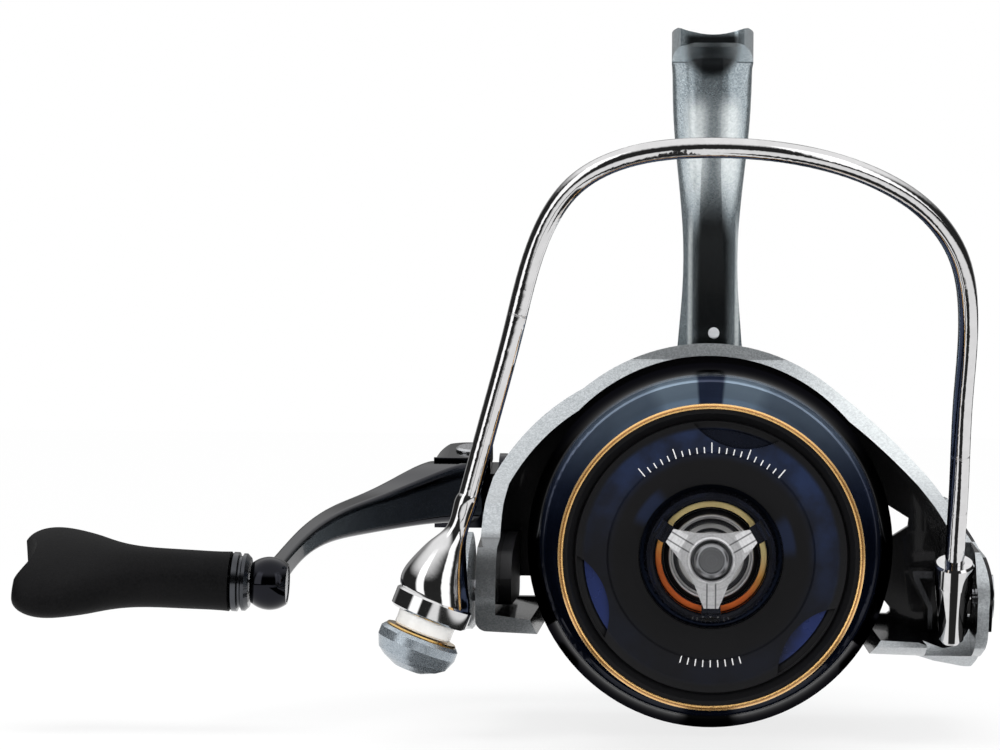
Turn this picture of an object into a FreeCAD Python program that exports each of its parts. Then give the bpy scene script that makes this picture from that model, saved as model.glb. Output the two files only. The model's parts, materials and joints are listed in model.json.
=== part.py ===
"""A long-stroke spinning reel as a parametric FreeCAD document.

Every sub-part is drawn in the reel's own layout: X to the right, depth backward from the plane of the
spool's lip, and height from the spool's axis. The placements then carry that layout into the part's
frame, whose origin is the middle of the saddle that the rod seat clamps.
"""

import FreeCAD, Part
import math
import os

import Sketcher

Vector = FreeCAD.Vector
Rotation = FreeCAD.Rotation
doc = FreeCAD.newDocument("spinning_reel")
sheet = doc.addObject("Spreadsheet::Sheet", "dims")
nodes = []


# ---------------------------------------------------------------- sizes and the spreadsheet


class Size:
    """A number together with the spreadsheet expression that gives it."""

    def __init__(self, value, text):
        self.value = float(value)
        self.text = text

    def __add__(self, other):
        return Size(self.value + size(other).value, f"({self.text} + {size(other).text})")

    def __sub__(self, other):
        return Size(self.value - size(other).value, f"({self.text} - {size(other).text})")

    def __mul__(self, other):
        return Size(self.value * size(other).value, f"({self.text} * {size(other).text})")

    def __truediv__(self, other):
        return Size(self.value / size(other).value, f"({self.text} / {size(other).text})")

    def __neg__(self):
        return Size(-self.value, f"(-1 * {self.text})")

    def __radd__(self, other):
        return size(other) + self

    def __rsub__(self, other):
        return size(other) - self

    def __rmul__(self, other):
        return size(other) * self


def size(number):
    """Any number as a Size, so that plain numbers and cells mix in one expression."""
    return number if isinstance(number, Size) else Size(number, repr(round(float(number), 5)))


def wave(name, angle):
    """The sine, cosine or tangent of an angle in degrees, as a Size."""
    return Size(getattr(math, name)(math.radians(angle.value)), f"{name}({angle.text})")


class Dimensions:
    """The driving dimensions, one cell of the spreadsheet each."""

    def __init__(self, rows):
        for number, (alias, value, note) in enumerate(rows, start=1):
            sheet.set(f"A{number}", note)
            sheet.set(f"B{number}", repr(value))
            sheet.setAlias(f"B{number}", alias)
            setattr(self, alias, Size(value, f"dims.{alias}"))


D = Dimensions(
    [
        ("axis_drop", 111.0, "spool axis below the rod seat's saddle"),
        ("lip_ahead", 105.0, "lip plane ahead of the foot's middle"),
        ("lip_radius", 30.7, "outside of the lip ring"),
        ("dish_radius", 27.6, "flat bottom of the spool's front dish"),
        ("stroke", 45.0, "travel of the spool, and length of its winding"),
        ("taper", 7.5, "slope of the winding, degrees"),
        ("arbor_radius", 22.2, "winding radius behind the lip"),
        ("flange_radius", 36.2, "front edge of the rear flange"),
        ("skirt_radius", 39.1, "outside of the skirt"),
        ("skirt_inside", 37.6, "inside of the skirt"),
        ("flange_back", 54.0, "depth of the flange's rear face"),
        ("skirt_end", 101.2, "depth of the skirt's rear edge"),
        ("cup_radius", 37.0, "outside of the rotor's cup"),
        ("cup_front", 55.2, "depth of the cup's front face"),
        ("web_front", 102.6, "depth of the rotor web's front face"),
        ("web_back", 106.6, "depth of the rotor web's rear face"),
        ("housing_front", 108.0, "depth of the gear housing's front face"),
        ("housing_back", 178.5, "depth of the gear housing's rear face"),
        ("shaft_radius", 2.6, "main shaft"),
        ("crank_height", 10.0, "crank axis above the spool axis"),
        ("crank_length", 85.0, "crank axis to the knob's axis"),
        ("crank_droop", 13.0, "crank below the horizontal at rest, degrees"),
        ("knob_reach", 94.6, "middle of the crank's ball boss left of the spool axis"),
        ("knob_rise", 2.35, "rise of the knob's axis towards its end, degrees"),
        ("gear_module", 0.75, "tooth module of the face gear and pinion"),
        ("pinion_teeth", 12.0, "teeth of the pinion"),
        ("gear_teeth", 49.0, "teeth of the face gear"),
        ("mesh_depth", 116.0, "depth at which the gears mesh"),
        ("pivot_depth", 48.0, "depth of the bail's pivot"),
        ("pivot_height", -10.0, "bail's pivot against the spool axis"),
        ("left_arm", 49.4, "outer face of the rotor's left arm"),
        ("right_arm", 58.5, "outer face of the rotor's right arm"),
        ("arm_wall", 4.2, "thickness of the rotor arms' walls"),
        ("wire_radius", 2.05, "bail wire"),
        ("roller_left", 57.3, "line roller left of the spool axis"),
        ("roller_height", -14.1, "line roller against the spool axis"),
        ("roller_depth", 3.0, "line roller behind the lip plane"),
        ("roller_tilt", 21.0, "line roller's axis off the vertical, degrees"),
        ("foot_length", 72.0, "rod foot"),
        ("foot_width", 18.2, "rod foot"),
        ("saddle_radius", 16.0, "curve of the foot's saddle"),
        ("knob_radius", 13.6, "drag knob"),
        ("running", 0.06, "radial clearance of a running fit"),
    ]
)
doc.recompute()

CRANK_DEPTH = D.mesh_depth + D.gear_module * D.gear_teeth / 2
UPRIGHT = Rotation()
LEFTWARD = Rotation(Vector(0, 0, 1), 90)
RIGHTWARD = Rotation(Vector(0, 0, 1), -90)
UPWARD = Rotation(Vector(1, 0, 0), 90)
FORWARD = Rotation(Vector(0, 0, 1), 180)


# ---------------------------------------------------------------- drawing tools


def bind(thing, path, number):
    """Set a property from a Size, and tie it to the spreadsheet where a cell drives it."""
    number = size(number)
    if "." not in path:
        setattr(thing, path, number.value)
    if "dims." in number.text or "." in path:
        thing.setExpression(path, number.text)


def put(thing, place=(0, 0, 0), turn=UPRIGHT):
    """Seat an object at (right, depth, height) of the reel's layout."""
    right, depth, height = place
    thing.Placement = FreeCAD.Placement(Vector(), turn)
    bind(thing, "Placement.Base.x", right)
    bind(thing, "Placement.Base.y", size(depth) - D.lip_ahead)
    bind(thing, "Placement.Base.z", size(height) - D.axis_drop)


def body(label, place=(0, 0, 0), turn=UPRIGHT, keep=True):
    """A new PartDesign body, and a node of its own unless it joins a group."""
    made = doc.addObject("PartDesign::Body", label)
    made.Label = label
    put(made, place, turn)
    if keep:
        nodes.append(made)
    return made


def on_plane(owner, plane, name, offset):
    """An empty sketch on one of its own body's planes, moved along the plane's normal."""
    drawn = owner.newObject("Sketcher::SketchObject", name)
    face = next(f for f in owner.Origin.OriginFeatures if f.Role == plane + "_Plane")
    drawn.AttachmentSupport = (face, [""])
    drawn.MapMode = "FlatFace"
    bind(drawn, "AttachmentOffset.Base.z", offset)
    return drawn


def arc_through(start, end, radius):
    """The shorter arc between two points: a positive radius bends left, a negative one bends right."""
    chord = end - start
    middle = (start + end) / 2
    rise = math.sqrt(max(radius * radius - chord.Length**2 / 4, 0))
    side = Vector(-chord.y, chord.x, 0).normalize() * math.copysign(rise, radius)
    centre = middle + side
    first, last = (start, end) if radius > 0 else (end, start)
    angles = [math.atan2(p.y - centre.y, p.x - centre.x) for p in (first, last)]
    circle = Part.Circle(centre, Vector(0, 0, 1), abs(radius))
    return Part.ArcOfCircle(circle, *angles)


def outline(owner, plane, name, points, offset=0):
    """A closed outline. A point is (x, y), or (x, y, radius) where an arc leads to it."""
    drawn = on_plane(owner, plane, name, offset)
    places = [Vector(size(p[0]).value, size(p[1]).value, 0) for p in points]
    rules, ties = [], []
    starts, ends, shapes = [], [], []
    for index, point in enumerate(points):
        start, end = places[index - 1], places[index]
        bend = size(point[2]) if len(point) > 2 else None
        if bend is None:
            shapes.append(Part.LineSegment(start, end))
        else:
            shapes.append(arc_through(start, end, bend.value))
        forward = bend is None or bend.value > 0
        starts.append(1 if forward else 2)
        ends.append(2 if forward else 1)
    drawn.addGeometry(shapes, False)
    for index, point in enumerate(points):
        after = (index + 1) % len(points)
        rules.append(Sketcher.Constraint("Coincident", index, ends[index], after, starts[after]))
        for kind, axis, number in (("DistanceX", -2, point[0]), ("DistanceY", -1, point[1])):
            number = size(number)
            if abs(number.value) < 1e-9:
                rules.append(Sketcher.Constraint("PointOnObject", index, ends[index], axis))
                continue
            rule = Sketcher.Constraint(kind, -1, 1, index, ends[index], number.value)
            ties.append((len(rules), number))
            rules.append(rule)
        if len(point) > 2:
            bend = size(point[2])
            bend = bend if bend.value > 0 else -bend
            ties.append((len(rules), bend))
            rules.append(Sketcher.Constraint("Radius", index, bend.value))
    drawn.addConstraint(rules)
    for index, number in ties:
        if "dims." in number.text:
            drawn.setExpression(f"Constraints[{index}]", number.text)
    return drawn


def circles(owner, plane, name, rounds, offset=0):
    """A sketch of circles, each (x, y, radius)."""
    drawn = on_plane(owner, plane, name, offset)
    for index, numbers in enumerate(rounds):
        x, y, radius = (size(n) for n in numbers)
        drawn.addGeometry(Part.Circle(Vector(x.value, y.value, 0), Vector(0, 0, 1), radius.value))
        for kind, number in (("DistanceX", x), ("DistanceY", y)):
            if abs(number.value) < 1e-9:
                axis = -2 if kind == "DistanceX" else -1
                drawn.addConstraint(Sketcher.Constraint("PointOnObject", index, 3, axis))
                continue
            tie = drawn.addConstraint(Sketcher.Constraint(kind, -1, 1, index, 3, number.value))
            if "dims." in number.text:
                drawn.setExpression(f"Constraints[{tie}]", number.text)
        tie = drawn.addConstraint(Sketcher.Constraint("Radius", index, radius.value))
        if "dims." in radius.text:
            drawn.setExpression(f"Constraints[{tie}]", radius.text)
    return drawn


def feature(owner, kind, name, profile, **settings):
    """A PartDesign feature made from a sketch."""
    made = owner.newObject("PartDesign::" + kind, name)
    made.Profile = profile
    for key, number in settings.items():
        if isinstance(number, (Size, float)):
            bind(made, key, number)
        else:
            setattr(made, key, number)
    return made


def revolve(owner, name, points, kind="Revolution", plane="XY", axis="V_Axis"):
    """Turn an outline of (radius, along) points about the body's Y axis."""
    profile = outline(owner, plane, name + "_profile", points)
    return feature(owner, kind, name, profile, ReferenceAxis=(profile, [axis]), Angle=360.0)


def turned(label, points, place=(0, 0, 0), turn=UPRIGHT, keep=True):
    """A turned piece, from the outline of half its section."""
    made = body(label, place, turn, keep)
    revolve(made, label + "_turning", points)
    return made


def ring(inner, outer, near, far):
    """Section points of a plain ring or sleeve."""
    return [(inner, near), (outer, near), (outer, far), (inner, far)]


def bevelled(outer, near, far, bevel, inner=0):
    """Section points of a disc or sleeve with bevelled outer edges."""
    near, far, outer = size(near), size(far), size(outer)
    return [
        (inner, near),
        (outer - bevel, near),
        (outer, near + bevel),
        (outer, far - bevel),
        (outer - bevel, far),
        (inner, far),
    ]


def group(label, members):
    """Several separate solids of one kind as one node."""
    made = doc.addObject("Part::Compound", label)
    made.Label = label
    made.Links = members
    nodes.append(made)
    return made


def polar(owner, original, count, axis):
    """Repeat a feature about one of its own body's axes."""
    made = owner.newObject("PartDesign::PolarPattern", original.Name + "_pattern")
    made.Originals = [original]
    line = next(f for f in owner.Origin.OriginFeatures if f.Role == axis + "_Axis")
    made.Axis = (line, [""])
    made.Angle = 360
    made.Occurrences = count
    owner.Tip = made
    return made


# ---------------------------------------------------------------- spool


def spool():
    """The long-stroke spool: dished front, tapered winding, rear flange and deep skirt."""
    dish_floor = 5.0
    stack_radius = 12.8
    stack_floor = 17.0
    seat = D.lip_radius - 1
    winding_front = 6.0
    winding_back = winding_front + D.stroke
    winding_radius = D.arbor_radius + D.stroke * wave("tan", D.taper)
    made = turned(
        "spool_body",
        [
            (5.5, stack_floor),
            (stack_radius, stack_floor),
            (stack_radius, 8.2),
            (14.4, 8.2),
            (14.4, dish_floor),
            (D.dish_radius - 2.2, dish_floor),
            (D.dish_radius - 1.7, 4.2),
            (D.dish_radius, 3.6),
            (seat - 0.9, 0.8),
            (seat, 0.8),
            (seat, 3.5),
            (D.lip_radius - 0.3, 3.5),
            (D.lip_radius - 0.3, 4.3),
            (D.arbor_radius + 0.9, winding_front + 0.6),
            (D.arbor_radius, winding_front + 1.7, 1.2),
            (winding_radius, winding_back),
            (D.flange_radius - 1.2, 48.3, 17.0),
            (D.flange_radius, 48.6, -1.0),
            (D.skirt_radius, 53.6, -6.5),
            (D.skirt_radius, D.skirt_end - 0.6),
            (D.skirt_radius - 0.6, D.skirt_end),
            (D.skirt_inside, D.skirt_end),
            (D.skirt_inside, D.flange_back + 2),
            (D.skirt_inside - 2, D.flange_back, -2.0),
            (26.0, D.flange_back),
            (20.0, 21.0),
            (9.0, 21.0),
            (9.0, 27.0),
            (5.5, 27.0),
        ],
    )
    ring_profile = [
        (seat, 0.2),
        (seat + 0.45, -0.15, -0.5),
        (seat + 0.6, 0.15),
        (D.lip_radius - 0.25, 0.3),
        (D.lip_radius, 0.9, 0.8),
        (D.lip_radius, 3.0),
        (D.lip_radius - 0.4, 3.4),
        (seat, 3.4),
    ]
    turned("lip_ring", ring_profile)
    return made




def front_plate():
    """The disc in the spool's dish, with three scooped crescents and a raised rim."""
    near = 3.9
    step = near - 0.4
    far = 4.9
    plate = turned(
        "front_plate",
        [
            (14.6, near),
            (20.6, near),
            (21.0, step),
            (25.4, step),
            (27.2, step - 0.9),
            (27.3, step - 0.5),
            (27.3, step),
            (25.6, 4.1),
            (25.2, far),
            (14.6, far),
        ],
        turn=Rotation(Vector(0, 1, 0), 71.0),
    )
    lens = [(-8.8, -25.5, -27.0), (8.8, -25.5, -13.7)]
    scoop = outline(plate, "XZ", "scoop_outline", lens, offset=-2.5)
    cut = feature(plate, "Pocket", "scoop", scoop, Length=1.8)
    polar(plate, cut, 3, "Y")
    return plate


def drag_stack():
    """What sits in the spool's drag chamber: washers, their retaining ring and the hub bearings."""
    thickness = 1.2
    washers = []
    for n in range(5):
        near = 10.9 + n * thickness
        washer = ring(3.3, 12.3 - 0.5 * (n % 2), near, near + 1.0)
        washers.append(turned(f"drag_washer_{n}", washer, keep=False))
    group("drag_washers", washers)
    turned("drag_retainer", [(11.9, 9.9), (12.75, 9.9), (12.75, 10.7), (11.9, 10.7)])
    bearings = [
        turned(f"hub_bearing_{n}", ring(D.shaft_radius + D.running, 5.5, near, near + 3.5), keep=False)
        for n, near in enumerate((17.4, 23.0))
    ]
    group("spool_bearings", bearings)


def line_clip():
    """The spring clip on the skirt that holds the loose end of the line."""
    clip = body("line_clip", (0, 76.0, 0), Rotation(Vector(0, 1, 0), 155))
    crest = [(-5, 39.15), (5, 39.15), (3.6, 40.3, 3.0), (-3.6, 40.3)]
    pad = outline(clip, "YZ", "pad_outline", crest, offset=-2.2)
    feature(clip, "Pad", "pad", pad, Length=4.4)


def main_shaft():
    """The shaft that carries the spool and the drag knob, and what is fixed to it."""
    turned(
        "main_shaft",
        [
            (0, -3.0),
            (2.0, -3.0),
            (2.3, -2.6),
            (2.3, 6.0),
            (D.shaft_radius, 6.4),
            (D.shaft_radius, 173.0),
            (D.shaft_radius - 0.5, 173.5),
            (0, 173.5),
        ],
    )
    click = turned("click_gear", ring(D.shaft_radius, 9.6, 28.0, 29.6))
    gap = [(-0.55, 8.4), (0.55, 8.4), (0.9, 10.2), (-0.9, 10.2)]
    notch = outline(click, "XZ", "notch_outline", gap, offset=-30.0)
    cut = feature(click, "Pocket", "notch", notch, Length=4.0, Reversed=True)
    polar(click, cut, 24, "Y")
    turned("spool_support", bevelled(7.4, 29.6, 33.0, 0.5, inner=D.shaft_radius))




# ---------------------------------------------------------------- drag knob


def drag_knob():
    """The front drag knob: cap, gold ring, three-armed spider, button, nut and spring washers."""
    front = -11.9
    radius = D.knob_radius
    back = 6.6
    cap = turned(
        "drag_knob_cap",
        [
            (5.4, 9.6),
            (6.6, 9.6),
            (6.6, 7.6),
            (radius, 7.6),
            (radius, 5.0),
            (radius - 0.7, 0.0),
            (radius - 1.4, -1.0),
            (11.6, -1.0),
            (11.3, -0.6),
            (11.3, 3.6),
            (9.8, 3.6),
            (9.8, back),
            (5.4, back),
        ],
    )
    lug = outline(
        cap,
        "YZ",
        "lug_outline",
        [(-10.3, -9.55), (-10.3, -10.4), (-3.0, -12.5, 16.0), (2.5, -12.5), (2.5, -9.55)],
        offset=-1.9,
    )
    grip = feature(cap, "Pad", "lug", lug, Length=3.8)
    polar(cap, grip, 3, "Y")
    turned("drag_ring", [(10.0, 2.95), (10.15, 2.8), (11.05, 2.8), (11.2, 2.95), (11.2, 3.6), (10.0, 3.6)])
    drag_spider(front, back)
    turned(
        "drag_button",
        [
            (0, front - 2.0),
            (2.3, front - 2.0),
            (2.4, front - 2.6),
            (3.0, front - 2.4, 0.7),
            (3.4, front - 1.7, 1.2),
            (3.4, -8.0),
            (3.95, -8.0),
            (3.95, -6.2),
            (0, -6.2),
        ],
    )
    nut = turned("drag_nut", ring(2.35, 4.4, -5.6, 1.8))
    flats = outline(nut, "XZ", "flat_outline", [(3.9, -6), (6, -6), (6, 6), (3.9, 6)], offset=-1.9)
    flat = feature(nut, "Pocket", "flat", flats, Length=8.0, Reversed=True)
    polar(nut, flat, 6, "Y")
    drag_spring()


def drag_spider(front, back):
    """The spider that the thumb turns: a sleeve and a sunk dish under a hub plate with three arms."""
    plate = front + 0.1
    spider = turned(
        "drag_spider",
        [
            (4.05, front - 0.2),
            (4.3, front - 0.4),
            (4.6, front - 0.2),
            (4.7, plate),
            (5.2, plate),
            (5.2, back - 2.0),
            (6.7, back - 2.0),
            (6.8, back - 2.9),
            (7.15, back - 2.9),
            (7.3, back - 2.0),
            (7.9, back - 2.0),
            (8.1, back - 4.2),
            (8.35, back - 4.3),
            (9.6, back - 1.2),
            (9.6, back),
            (4.5, back),
            (4.5, -6.0),
            (4.05, -6.0),
        ],
    )
    shape = [(-4.59, -2.65), (-3.3, -4.9), (-1.45, -9.55), (1.45, -9.55), (3.3, -4.9), (4.59, -2.65)]
    arm = outline(spider, "XZ", "arm_outline", shape, offset=-front - 2.3)
    web = feature(spider, "Pad", "arm", arm, Length=2.3)
    polar(spider, web, 3, "Y")
    bore = circles(spider, "XZ", "button_bore_outline", [(0, 0, 4.05)], offset=0.5 - front)
    feature(spider, "Pocket", "button_bore", bore, Length=5.0)
    wedge = [(front - 1, -6.4), (front, -6.4), (front + 1.3, -9.7), (front - 1, -9.7)]
    slope = outline(spider, "YZ", "slope_outline", wedge, offset=2.0)
    wedge = feature(spider, "Pocket", "slope", slope, Length=4.0)
    polar(spider, wedge, 3, "Y")
    return spider


def drag_spring():
    """The pair of coned spring washers behind the knob, which press the drag stack."""
    rise, thickness = 0.7, 0.4
    middle = 8.8
    cones = [
        turned(
            f"spring_washer_{number}",
            [
                (6.8, middle - way * (rise + thickness)),
                (9.4, middle - way * thickness),
                (9.4, middle),
                (6.8, middle - way * rise),
            ][::way],
            keep=False,
        )
        for number, way in enumerate((1, -1))
    ]
    group("drag_spring", cones)


def coil(label, radius, wire_radius, pitch, length, place):
    """A helical spring with its axis front to back, swept round wire on a helix."""
    path = Part.makeHelix(pitch, length, radius)
    section = Part.Wire(Part.Circle(Vector(radius, 0, 0), Vector(0, 1, 0), wire_radius).toShape())
    spring = doc.addObject("Part::Feature", label)
    spring.Label = label
    spring.Shape = Part.Wire(path).makePipeShell([section], True, True)
    put(spring, place, UPWARD.inverted())
    nodes.append(spring)


# ---------------------------------------------------------------- rotor


def rotor():
    """The rotor: a cup in the spool's skirt, a rear web with windows and two walled arms."""
    frame = body("rotor_frame")
    front = 34.0
    wall = D.arm_wall
    right_inside = D.right_arm - 2.4
    outer = outline(
        frame,
        "XZ",
        "arch_outline",
        [
            (24.0, -22.1),
            (44.0, -23.1),
            (48.2, -24.6),
            (53.4, -25.7),
            (56.6, -26.0, 9.0),
            (D.right_arm - 0.6, -22.0, 9.0),
            (D.right_arm, -17.4, 14.0),
            (D.right_arm, -12.0),
            (54.8, 3.4, 21.9),
            (48.3, 14.1, 60.0),
            (28.3, 33.3, 140.0),
            (-28.6, 33.3, 44.0),
            (-47.8, 13.6, 46.0),
            (-D.left_arm, 1.2, 40.0),
            (-D.left_arm, -16.2),
            (2.2 - D.left_arm, -18.2, 2.4),
            (-24.0, -19.2),
        ],
        offset=-D.web_back,
    )
    feature(frame, "Pad", "arch", outer, Length=D.web_back - front)
    inner = outline(
        frame,
        "XZ",
        "arch_inside",
        [
            (24.0, -18.6),
            (44.0, -19.6),
            (50.0, -21.7),
            (right_inside, -17.2, 6.5),
            (right_inside, -12.0),
            (52.2, 2.4, 22.0),
            (45.9, 12.4, 60.0),
            (26.2, 30.2, 120.0),
            (-26.2, 30.2, 40.0),
            (-44.2, 12.2, 42.0),
            (wall - D.left_arm, 1.0, 36.0),
            (wall - D.left_arm, -14.6),
            (-24.0, -17.4),
        ],
        offset=-D.web_front,
    )
    hollow = D.web_front - front + 1
    feature(frame, "Pocket", "arch_hollow", inner, Length=hollow, Reversed=True)
    clearance = circles(frame, "XZ", "skirt_clearance_outline", [(0, 0, D.skirt_radius + 1.8)], offset=-D.web_front)
    feature(frame, "Pocket", "skirt_clearance", clearance, Length=hollow, Reversed=True)
    edge = outline(
        frame,
        "YZ",
        "arm_edge",
        [
            (front - 2, -30.0),
            (72.0, -30.0),
            (56.0, -23.4),
            (D.pivot_depth - 4.0, D.pivot_height - 10.8, -40.0),
            (D.pivot_depth - 3.0, D.pivot_height + 9.4, -11.6),
            (57.0, 1.0),
            (66.0, 8.0, 20.0),
            (88.0, 22.5, 70.0),
            (D.web_front - 1.4, 40.0, 40.0),
            (D.web_front - 1.0, 50.0),
            (front - 2, 50.0),
        ],
        offset=-70.0,
    )
    feature(frame, "Pocket", "arm_shaping", edge, Length=140.0, Reversed=True)
    revolve(
        frame,
        "cup",
        [
            (5.0, D.cup_front),
            (D.cup_radius - 1.5, D.cup_front),
            (D.cup_radius, D.cup_front + 1.5, 1.5),
            (D.cup_radius, D.web_front),
            (38.6, D.web_front),
            (38.6, D.web_back),
            (34.6, D.web_back),
            (34.6, D.cup_front + 4.5),
            (33.1, D.cup_front + 3.0, -1.5),
            (11.0, D.cup_front + 3.0),
            (9.0, D.cup_front + 5.0, 2.0),
            (9.0, D.cup_front + 25.0),
            (5.0, D.cup_front + 25.0),
        ],
    )
    swing = circles(
        frame,
        "YZ",
        "bail_clearance_outline",
        [(D.pivot_depth, D.pivot_height, 14.2)],
        offset=right_inside - 0.2,
    )
    feature(frame, "Pocket", "bail_clearance", swing, Length=10.0)
    opening = circles(frame, "XZ", "cup_opening_outline", [(0, 0, 34.6)], offset=-D.web_front)
    feature(frame, "Pocket", "cup_opening", opening, Length=8.0)
    windows = (
        ("upper_right", [(45.6, 4.2), (38.4, 8.66), (38.4, -2.0), (45.4, 2.5)]),
        (
            "lower_right",
            [(41.3, -16.0), (39.9, -14.3), (36.0, -14.0), (36.0, -17.5), (40.7, -17.5), (41.3, -17.0)],
        ),
        ("left", [(-44.9, -12.0), (-42.8, -9.7), (-38.0, -9.7), (-36.4, -14.4), (-44.9, -14.4)]),
    )
    for side, corners in windows:
        hole = outline(frame, "XZ", side + "_window_outline", corners, offset=1.0 - D.web_front)
        feature(frame, "Pocket", side + "_window", hole, Length=8.0)
    pocket = outline(
        frame,
        "YZ",
        "spring_pocket_outline",
        [(64.0, -11.0), (94.0, -11.0), (94.0, -3.6), (64.0, -4.6)],
        offset=wall - D.left_arm + 1,
    )
    feature(frame, "Pocket", "spring_pocket", pocket, Length=3.7)
    for side, at in (("left", -D.left_arm - 1.0), ("right", D.right_arm - 6.0)):
        pivot = circles(frame, "YZ", side + "_pivot_outline", [(D.pivot_depth, D.pivot_height, 2.6)], offset=at)
        feature(frame, "Pocket", side + "_pivot_hole", pivot, Length=8.0, Reversed=True)
    return frame


def rotor_fittings():
    """The nut that holds the rotor, the arms' covers and the bail's trip lever."""
    nut = turned("rotor_nut", bevelled(9.2, D.cup_front - 4.2, D.cup_front, 0.5, inner=5.0))
    flats = outline(nut, "XZ", "flat_outline", [(8.0, -9), (10, -9), (10, 9), (8.0, 9)], offset=-D.cup_front)
    flat = feature(nut, "Pocket", "flat", flats, Length=5.0, Reversed=True)
    polar(nut, flat, 6, "Y")

    cover = body("left_arm_cover")
    shape = outline(
        cover,
        "YZ",
        "cover_outline",
        [
            (62.0, -13.8, 6.0),
            (96.0, -13.8),
            (99.0, -10.8, 3.0),
            (99.0, 0.5),
            (66.0, -2.0, 110.0),
            (58.0, -8.0, 9.0),
        ],
        offset=D.arm_wall - D.left_arm,
    )
    feature(cover, "Pad", "cover", shape, Length=2.4)

    panel = body("right_arm_cover")
    section = outline(
        panel,
        "XZ",
        "panel_section",
        [
            (D.right_arm, -17.2),
            (D.right_arm + 0.8, -17.2),
            (D.right_arm + 0.8, -12.0),
            (55.52, 3.74, 22.70),
            (52.21, 9.83, 60.8),
            (51.53, 9.41),
            (54.8, 3.4, -60.0),
            (D.right_arm, -12.0, -21.9),
        ],
        offset=-86.0,
    )
    feature(panel, "Pad", "panel", section, Length=48.0)
    trim = outline(
        panel,
        "YZ",
        "panel_trim",
        [
            (30.0, -20.0),
            (D.pivot_depth - 3.6, -19.0),
            (D.pivot_depth - 3.6, D.pivot_height + 8.4, -10.6),
            (57.0, -0.4),
            (66.0, 6.0, 22.0),
            (78.0, 12.0, 60.0),
            (90.0, 12.0),
            (90.0, 20.0),
            (30.0, 20.0),
        ],
        offset=45.0,
    )
    feature(panel, "Pocket", "trim", trim, Length=20.0, Reversed=True)
    clear = circles(panel, "YZ", "screw_clearance_outline", [(D.pivot_depth, D.pivot_height, 5.0)], offset=45.0)
    feature(panel, "Pocket", "screw_clearance", clear, Length=20.0, Reversed=True)

    lever = body("bail_trip_lever")
    shape = outline(
        lever,
        "XZ",
        "lever_outline",
        [
            (45.9, -7.3),
            (46.2, -9.2),
            (49.4, -15.7),
            (49.4, -20.4),
            (50.4, -20.4),
            (50.4, -15.3),
            (47.4, -8.9),
            (50.4, -8.9),
            (50.4, -7.3),
        ],
        offset=-D.web_front,
    )
    feature(lever, "Pad", "lever", shape, Length=8.0)


def bail_pivots():
    """The screws that the bail's two ends turn on, and the spring under the left cover."""
    left = turned(
        "left_screw",
        [(0, 0), (5.0, 0), (5.6, 0.6), (5.6, 1.5), (2.55, 1.5), (2.55, 10.4), (0, 10.4)],
        (-D.left_arm - 6.2, D.pivot_depth, D.pivot_height),
        RIGHTWARD,
        keep=False,
    )
    right = turned(
        "right_screw",
        [(0, 0), (4.6, 0), (4.6, 1.2), (2.55, 1.2), (2.55, 3.4), (1.6, 3.4), (1.6, 10.0), (0, 10.0)],
        (D.right_arm + 1.45, D.pivot_depth, D.pivot_height),
        LEFTWARD,
        keep=False,
    )
    group("bail_pivot_screws", [left, right])
    coil("bail_spring", 0.95, 0.26, 2.4, 16.8, (D.arm_wall - D.left_arm - 1.35, 70.0, -7.0))




# ---------------------------------------------------------------- bail


def bail():
    """The bail: arm and horn with the line roller at the left, wire over the top, holder at the right."""
    arm = body("bail_arm")
    near = -D.left_arm - 4.5
    lever = outline(
        arm,
        "YZ",
        "lever_outline",
        [
            (D.pivot_depth + 4.0, D.pivot_height - 7.6),
            (D.pivot_depth + 4.0, D.pivot_height + 7.6, 8.6),
            (38.0, 3.0, 24.0),
            (24.0, -1.0),
            (12.5, -7.6, -30.0),
            (5.0, -9.8),
            (5.0, -14.8),
            (12.5, -15.0),
            (28.0, -16.2),
            (40.0, -17.6),
        ],
        offset=near,
    )
    feature(arm, "Pad", "lever", lever, Length=3.9)
    bore = circles(arm, "YZ", "bore_outline", [(D.pivot_depth, D.pivot_height, 2.55 + 0.06)], offset=near - 1)
    feature(arm, "Pocket", "bore", bore, Length=6.0, Reversed=True)
    seat = roller_piece("collar_seat", ring(0, 8.0, -12.0, 18.0), keep=False)
    fitted = doc.addObject("Part::Cut", "lever_with_seat")
    fitted.Base = arm
    fitted.Tool = seat
    nodes.remove(arm)
    arm.Label = "bail_lever"
    fitted.Label = "bail_arm"
    nodes.append(fitted)
    horn()
    wire()
    holder()


def roller_piece(label, points, keep=True):
    """A piece turned about the line roller's axis, measured from the roller's middle towards the horn."""
    tilt = Rotation(Vector(0, 1, 0), D.roller_tilt.value) * UPWARD
    return turned(label, points, (-D.roller_left, D.roller_depth, D.roller_height), tilt, keep)


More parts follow.
